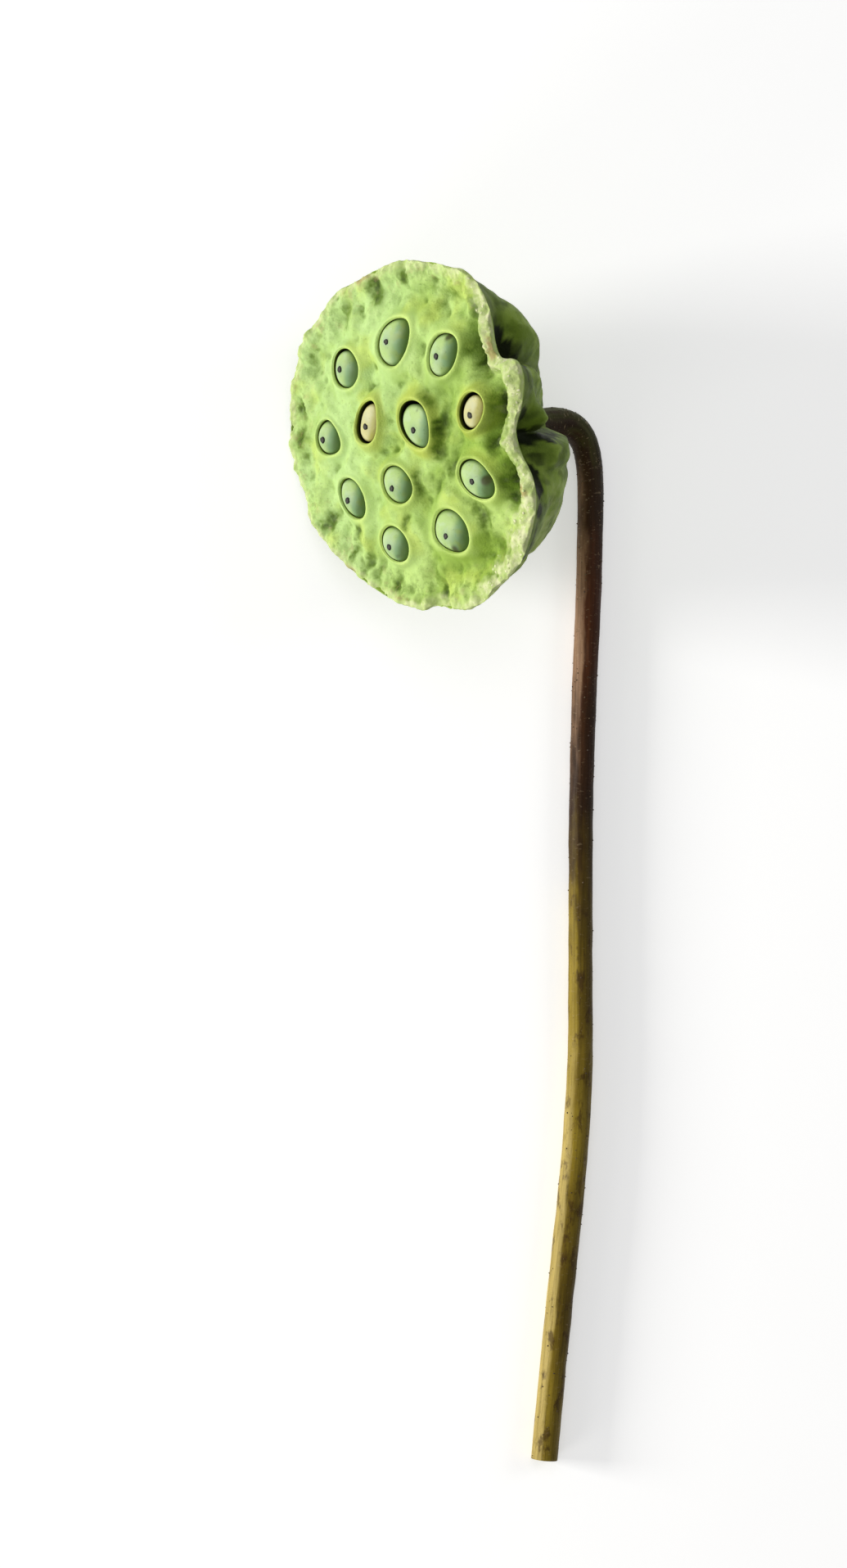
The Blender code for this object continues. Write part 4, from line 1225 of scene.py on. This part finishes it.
def tree_node(tree, kind, inputs=None, **settings):
    """A node with its settings, and its inputs linked or set by name or number."""
    node = tree.nodes.new(kind)
    for setting, value in settings.items():
        setattr(node, setting, value)
    for key, value in (inputs or {}).items():
        if isinstance(value, bpy.types.NodeSocket):
            tree.links.new(value, node.inputs[key])
        else:
            node.inputs[key].default_value = value
    return node


def close_tree(tree, geometry, material):
    """Ends a tree in Realize Instances and Set Material."""
    real = tree_node(tree, "GeometryNodeRealizeInstances", {"Geometry": geometry})
    painted = tree_node(tree, "GeometryNodeSetMaterial", {"Geometry": real.outputs[0]})
    painted.inputs["Material"].default_value = material
    tree_node(tree, "NodeGroupOutput", {"Geometry": painted.outputs[0]})


def grown(carrier, tree, sizes, name):
    """The mesh that a tree makes from a carrier, as an object of its own."""
    modifier = carrier.modifiers.new(name, "NODES")
    modifier.node_group = tree
    for item in tree.interface.items_tree:
        if item.in_out == "INPUT" and item.name in sizes:
            modifier[item.identifier] = sizes[item.name]
    bpy.context.view_layer.update()
    depsgraph = bpy.context.evaluated_depsgraph_get()
    seen = carrier.evaluated_get(depsgraph)
    mesh = bpy.data.meshes.new_from_object(seen, preserve_all_data_layers=True, depsgraph=depsgraph)
    carrier.modifiers.remove(modifier)
    mesh.name = name
    for vertex in mesh.vertices:
        vertex.co.z = max(0.0, vertex.co.z)
    piece = bpy.data.objects.new(name, mesh)
    bpy.context.scene.collection.objects.link(piece)
    return piece


def sweep_tree(material):
    """Sweeps a round section along a curve, at the curve's own radius."""
    tree, given = new_tree("stem_sweep", (("Sides", "NodeSocketInt"), ("Thickness", "NodeSocketFloat")))
    circle = tree_node(tree, "GeometryNodeCurvePrimitiveCircle", {
        "Resolution": given["Sides"], "Radius": given["Thickness"]})
    radius = tree_node(tree, "GeometryNodeInputRadius")
    swept = tree_node(tree, "GeometryNodeCurveToMesh", {
        "Curve": given["Geometry"], "Profile Curve": circle.outputs["Curve"],
        "Scale": radius.outputs[0], "Fill Caps": False})
    close_tree(tree, swept.outputs[0], material)
    return tree


def scatter_tree(name, mark, seed_shape, tilt, material):
    """Scatters a small shape over the faces of a skin, as thickly as a mark says."""
    tree, given = new_tree(name, (
        ("Size", "NodeSocketFloat"), ("Per square metre", "NodeSocketFloat"), ("Seed", "NodeSocketInt")))
    named = tree_node(tree, "GeometryNodeInputNamedAttribute", {"Name": mark}, data_type="FLOAT")
    density = tree_node(tree, "ShaderNodeMath", {
        0: named.outputs["Attribute"], 1: given["Per square metre"]}, operation="MULTIPLY")
    points = tree_node(tree, "GeometryNodeDistributePointsOnFaces", {
        "Mesh": given["Geometry"], "Density": density.outputs[0], "Seed": given["Seed"]})
    shape = seed_shape(tree)
    random_size = tree_node(tree, "FunctionNodeRandomValue", {2: 0.45, 3: 1.25, 8: given["Seed"]})
    size = tree_node(tree, "ShaderNodeMath", {
        0: random_size.outputs[1], 1: given["Size"]}, operation="MULTIPLY")
    leaning = tree_node(tree, "FunctionNodeRandomValue", {
        0: (-tilt, -tilt, 0.0), 1: (tilt, tilt, math.tau), 8: given["Seed"]}, data_type="FLOAT_VECTOR")
    turned = tree_node(tree, "FunctionNodeEulerToRotation", {0: leaning.outputs[0]})
    rotation = tree_node(tree, "FunctionNodeRotateRotation", {
        "Rotation": points.outputs["Rotation"], "Rotate By": turned.outputs[0]}, rotation_space="LOCAL")
    placed = tree_node(tree, "GeometryNodeInstanceOnPoints", {
        "Points": points.outputs["Points"], "Instance": shape, "Rotation": rotation.outputs[0],
        "Scale": size.outputs[0]})
    close_tree(tree, placed.outputs[0], material)
    return tree


def crumb_shape(tree):
    ball = tree_node(tree, "GeometryNodeMeshIcoSphere", {"Radius": 1.0, "Subdivisions": 2})
    flat = tree_node(tree, "GeometryNodeTransform", {
        "Geometry": ball.outputs["Mesh"], "Scale": (1.0, 0.7, 0.2)})
    smooth = tree_node(tree, "GeometryNodeSetShadeSmooth", {"Geometry": flat.outputs[0]})
    return smooth.outputs[0]


def prickle_shape(tree):
    cone = tree_node(tree, "GeometryNodeMeshCone", {
        "Vertices": 7, "Side Segments": 1, "Fill Segments": 1, "Radius Top": 0.25,
        "Radius Bottom": 1.0, "Depth": 1.1}, fill_type="NGON")
    return cone.outputs["Mesh"]


def stem_curve(line):
    """A poly curve in metres with the stem's radius at each point."""
    curve = bpy.data.curves.new("stem_line", "CURVE")
    curve.dimensions = "3D"
    spline = curve.splines.new("POLY")
    spline.points.add(len(line) - 1)
    for point, (x, y, z, radius) in zip(spline.points, line):
        point.co = ((x + POD_PLACE[0]) * MM, (y + POD_PLACE[1]) * MM, z * MM, 1.0)
        point.radius = radius * MM
    carrier = bpy.data.objects.new("stem_line", curve)
    bpy.context.scene.collection.objects.link(carrier)
    return carrier


def close_stem(form, rings, normal):
    """Closes the stem at the neck, and at its cut end round the mouths of the air canals."""
    form.faces.new(rings[0])
    end = rings[-1]
    middle = sum((v.co for v in end), Vector()) / len(end)
    across = (end[0].co - middle).normalized()
    up = normal.cross(across)
    flat = [((v.co - middle).dot(across) / MM, (v.co - middle).dot(up) / MM) for v in end]
    outlines = [list(range(len(end)))]
    verts = list(end)
    for canal in range(CANAL_COUNT):
        place = math.tau * canal / CANAL_COUNT
        ring = []
        for i in range(CANAL_SIDES):
            a = math.tau * i / CANAL_SIDES
            x = CANAL_RING * math.cos(place) + CANAL_RADIUS * math.cos(a)
            y = CANAL_RING * math.sin(place) + CANAL_RADIUS * math.sin(a)
            ring.append(len(flat))
            flat.append((x, y))
            verts.append(form.verts.new(middle + (across * x + up * y) * MM))
        outlines.append(ring)

    edge, *canals = [[flat[i] for i in outline] for outline in outlines]

    def on_end(x, y):
        return encloses(edge, x, y) and not any(encloses(canal, x, y) for canal in canals)

    for triangle in triangulated(flat, outlines, on_end):
        form.faces.new([verts[i] for i in triangle])
    for ring in outlines[1:]:
        mouth = [verts[i] for i in ring]
        deep = [form.verts.new(v.co - normal * CANAL_DEPTH * MM) for v in mouth]
        for i in range(CANAL_SIDES):
            form.faces.new((mouth[i - 1], mouth[i], deep[i], deep[i - 1]))
        form.faces.new(deep)


def make_stem(material):
    """The stem, swept by Geometry Nodes, then given its relief and its cut end."""
    line = stem_line()
    carrier = stem_curve(line)
    stem = grown(carrier, sweep_tree(material), {"Sides": STEM_SIDES, "Thickness": 1.0}, "stem_skin")
    bpy.data.objects.remove(carrier)
    mesh = stem.data
    count = len(line)
    sides = len(mesh.vertices) // count
    co = np.empty(len(mesh.vertices) * 3)
    mesh.vertices.foreach_get("co", co)
    co = co.reshape(count, sides, 3) / MM
    centre = np.array([p[:3] for p in line]) + np.array([*POD_PLACE, 0.0])
    run = np.concatenate([[0.0], np.cumsum(np.linalg.norm(np.diff(centre, axis=0), axis=1))])
    straight = np.zeros((count, sides, 3))
    painted_lit_side = np.zeros((count, sides))
    painted_shaded_side = np.zeros((count, sides))
    for i in range(count):
        radius = line[i][3]
        for s in range(sides):
            out = (co[i, s] - centre[i]) / radius
            a = math.tau * s / sides
            unrolled = (radius * math.cos(a), radius * math.sin(a), run[i])
            straight[i, s] = unrolled
            # The side towards the light, for a painted highlight.
            painted_lit_side[i, s] = smooth_step(-0.05, -0.7, out[0])
            # The side away from the light, for painted shade.
            painted_shaded_side[i, s] = smooth_step(0.1, 0.75, out[0])
            fibre = grain((unrolled[0], unrolled[1], run[i] / STEM_FIBRE_STRETCH), STEM_FIBRE_SIZE, 9)
            crinkle = grain((0.4 * unrolled[0], 0.4 * unrolled[1], run[i]), STEM_WRINKLE_SIZE, 10)
            bend = bell(run[i] - 14.0, 16.0)
            out_by = STEM_FIBRE_HEIGHT * fibre + STEM_WRINKLE_HEIGHT * crinkle * (0.25 + bend)
            out_by += 0.12 * grain(unrolled, 6.0, 12)
            co[i, s] += out * out_by
    co[:, :, 2] = np.maximum(co[:, :, 2], 0.0)
    mesh.vertices.foreach_set("co", (co * MM).ravel())
    form = bmesh.new()
    form.from_mesh(mesh)
    form.verts.ensure_lookup_table()
    rings = [[form.verts[r * sides + s] for s in range(sides)] for r in (0, count - 1)]
    normal = Vector(centre[-1] - centre[-3]).normalized()
    close_stem(form, rings, normal)
    bmesh.ops.recalc_face_normals(form, faces=form.faces)
    form.to_mesh(mesh)
    form.free()
    total = len(mesh.vertices)
    extra = total - count * sides
    values = np.concatenate([straight.reshape(-1, 3), np.tile([[1.0, 1.0, run[-1]]], (extra, 1))]) * MM
    layer = mesh.attributes.new("straight", "FLOAT_VECTOR", "POINT")
    layer.data.foreach_set("vector", values.astype(np.float32).ravel())
    marks = {
        "along": np.concatenate([np.repeat(run / run[-1], sides), np.ones(extra)]),
        "painted_lit_side": np.concatenate([painted_lit_side.ravel(), np.zeros(extra)]),
        "painted_shaded_side": np.concatenate([painted_shaded_side.ravel(), np.zeros(extra)]),
        "pith": np.concatenate([np.zeros(count * sides), np.ones(extra)]),
        "prickle": np.concatenate([np.repeat(0.35 + 0.65 * (run < 120.0), sides), np.zeros(extra)]),
    }
    for mark, each in marks.items():
        layer = mesh.attributes.new(mark, "FLOAT", "POINT")
        layer.data.foreach_set("value", each.astype(np.float32))
    mesh.shade_smooth()
    mesh.set_sharp_from_angle(angle=math.radians(60))
    return stem


def make_floor():
    f = Finish("table_top", 0.75)
    f.shader.inputs["Emission Color"].default_value = (1.0, 1.0, 1.0, 1.0)
    f.shader.inputs["Emission Strength"].default_value = 0.4
    colour = f.blend(f.noise(60.0), (0.93, 0.93, 0.93, 1.0), (0.95, 0.95, 0.95, 1.0))
    material = f.done(colour, f.bump(f.noise(2.0), 0.01))
    half = 2.5
    corners = [(-half, -half, 0), (half, -half, 0), (half, half, 0), (-half, half, 0)]
    mesh = bpy.data.meshes.new("table_top")
    mesh.from_pydata(corners, [], [(0, 1, 2, 3)])
    mesh.materials.append(material)
    floor = bpy.data.objects.new("table_top", mesh)
    bpy.context.scene.collection.objects.link(floor)


def add_light(name, place, aim, size, power, colour):
    light = bpy.data.lights.new(name, "AREA")
    light.shape = "SQUARE"
    light.size = size
    light.energy = power
    light.color = colour
    holder = bpy.data.objects.new(name, light)
    holder.location = place
    holder.rotation_euler = (Vector(aim) - Vector(place)).to_track_quat("-Z", "Y").to_euler()
    bpy.context.scene.collection.objects.link(holder)


def add_camera():
    camera = bpy.data.cameras.new("camera")
    camera.lens = CAMERA_LENS
    camera.sensor_width = CAMERA_SENSOR
    camera.sensor_fit = "AUTO"
    camera.clip_start, camera.clip_end = 0.01, 20.0
    cos, sin = math.cos(CAMERA_LEAN), math.sin(CAMERA_LEAN)
    turned = Matrix(((cos, 0.0, -sin), (0.0, 1.0, 0.0), (sin, 0.0, cos))).to_4x4()
    place = (Vector(CAMERA_PLACE) + Vector((*POD_PLACE, 0.0))) * MM
    holder = bpy.data.objects.new("camera", camera)
    holder.matrix_world = Matrix.Translation(place) @ turned
    bpy.context.scene.collection.objects.link(holder)
    bpy.context.scene.camera = holder


def light_the_table():
    world = bpy.data.worlds.new("studio")
    world.use_nodes = True
    background = world.node_tree.nodes["Background"]
    background.inputs["Color"].default_value = (1.0, 1.0, 1.0, 1.0)
    background.inputs["Strength"].default_value = 0.22
    bpy.context.scene.world = world
    add_light("window", (-1.53, 0.14, 0.45), (0.0, 0.08, 0.03), 0.42, 21.5, (1.0, 0.985, 0.95))
    add_light("lamp", (-0.95, -0.85, 0.42), (0.03, 0.02, 0.02), 0.5, 3.4, (1.0, 0.97, 0.93))
    add_light("back", (1.2, 0.5, 0.9), (0.0, 0.1, 0.03), 0.6, 3.0, (1.0, 1.0, 1.0))
    add_light("ceiling", (-0.2, 0.5, 1.5), (0.0, 0.0, 0.0), 1.0, 3.0, (0.97, 0.985, 1.0))
    bpy.context.scene.view_settings.view_transform = "Standard"


def main():
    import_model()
    add_camera()
    light_the_table()
    make_floor()

    receptacle = make_receptacle()
    crumbs = grown(
        receptacle,
        scatter_tree("crumb_scatter", "crumbly", crumb_shape, 0.15, crumb_finish()),
        {"Size": CRUMB_SIZE * MM, "Per square metre": CRUMBS_PER_M2, "Seed": CRUMB_SEED},
        "rim_crumbs",
    )
    ride_root(receptacle, "pod_green", "receptacle")
    ride_root(crumbs, "pod_green")

    ripe = nut_finish(
        "nut_skin_glaucous", NUT_BLUE, NUT_LEAF, NUT_GREEN, NUT_SHADE, NUT_OLIVE, NUT_HALO)
    # The pale nuts' darker tone, NUT_UMBER, is partly painted shade.
    pale = nut_finish(
        "nut_skin_cream", NUT_CREAM, NUT_PEARL, NUT_STRAW, NUT_UMBER, NUT_STRAW, NUT_STRAW)
    tip = tip_finish()
    for number, pit in enumerate(PITS, start=1):
        unripe = number in UNRIPE
        nut = make_nut(number, pit, pale if unripe else ripe, tip)
        ride_root(nut, "nut_cream" if unripe else "nut_glaucous", f"nut_{number:02d}")

    stem = make_stem(stem_finish())
    prickles = grown(
        stem,
        scatter_tree("prickle_scatter", "prickle", prickle_shape, 0.3, prickle_finish()),
        {"Size": PRICKLE_SIZE * MM, "Per square metre": PRICKLES_PER_M2, "Seed": PRICKLE_SEED},
        "stem_prickles",
    )
    ride_root(stem, "stem_brown", "stem")
    ride_root(prickles, "stem_brown")


main()
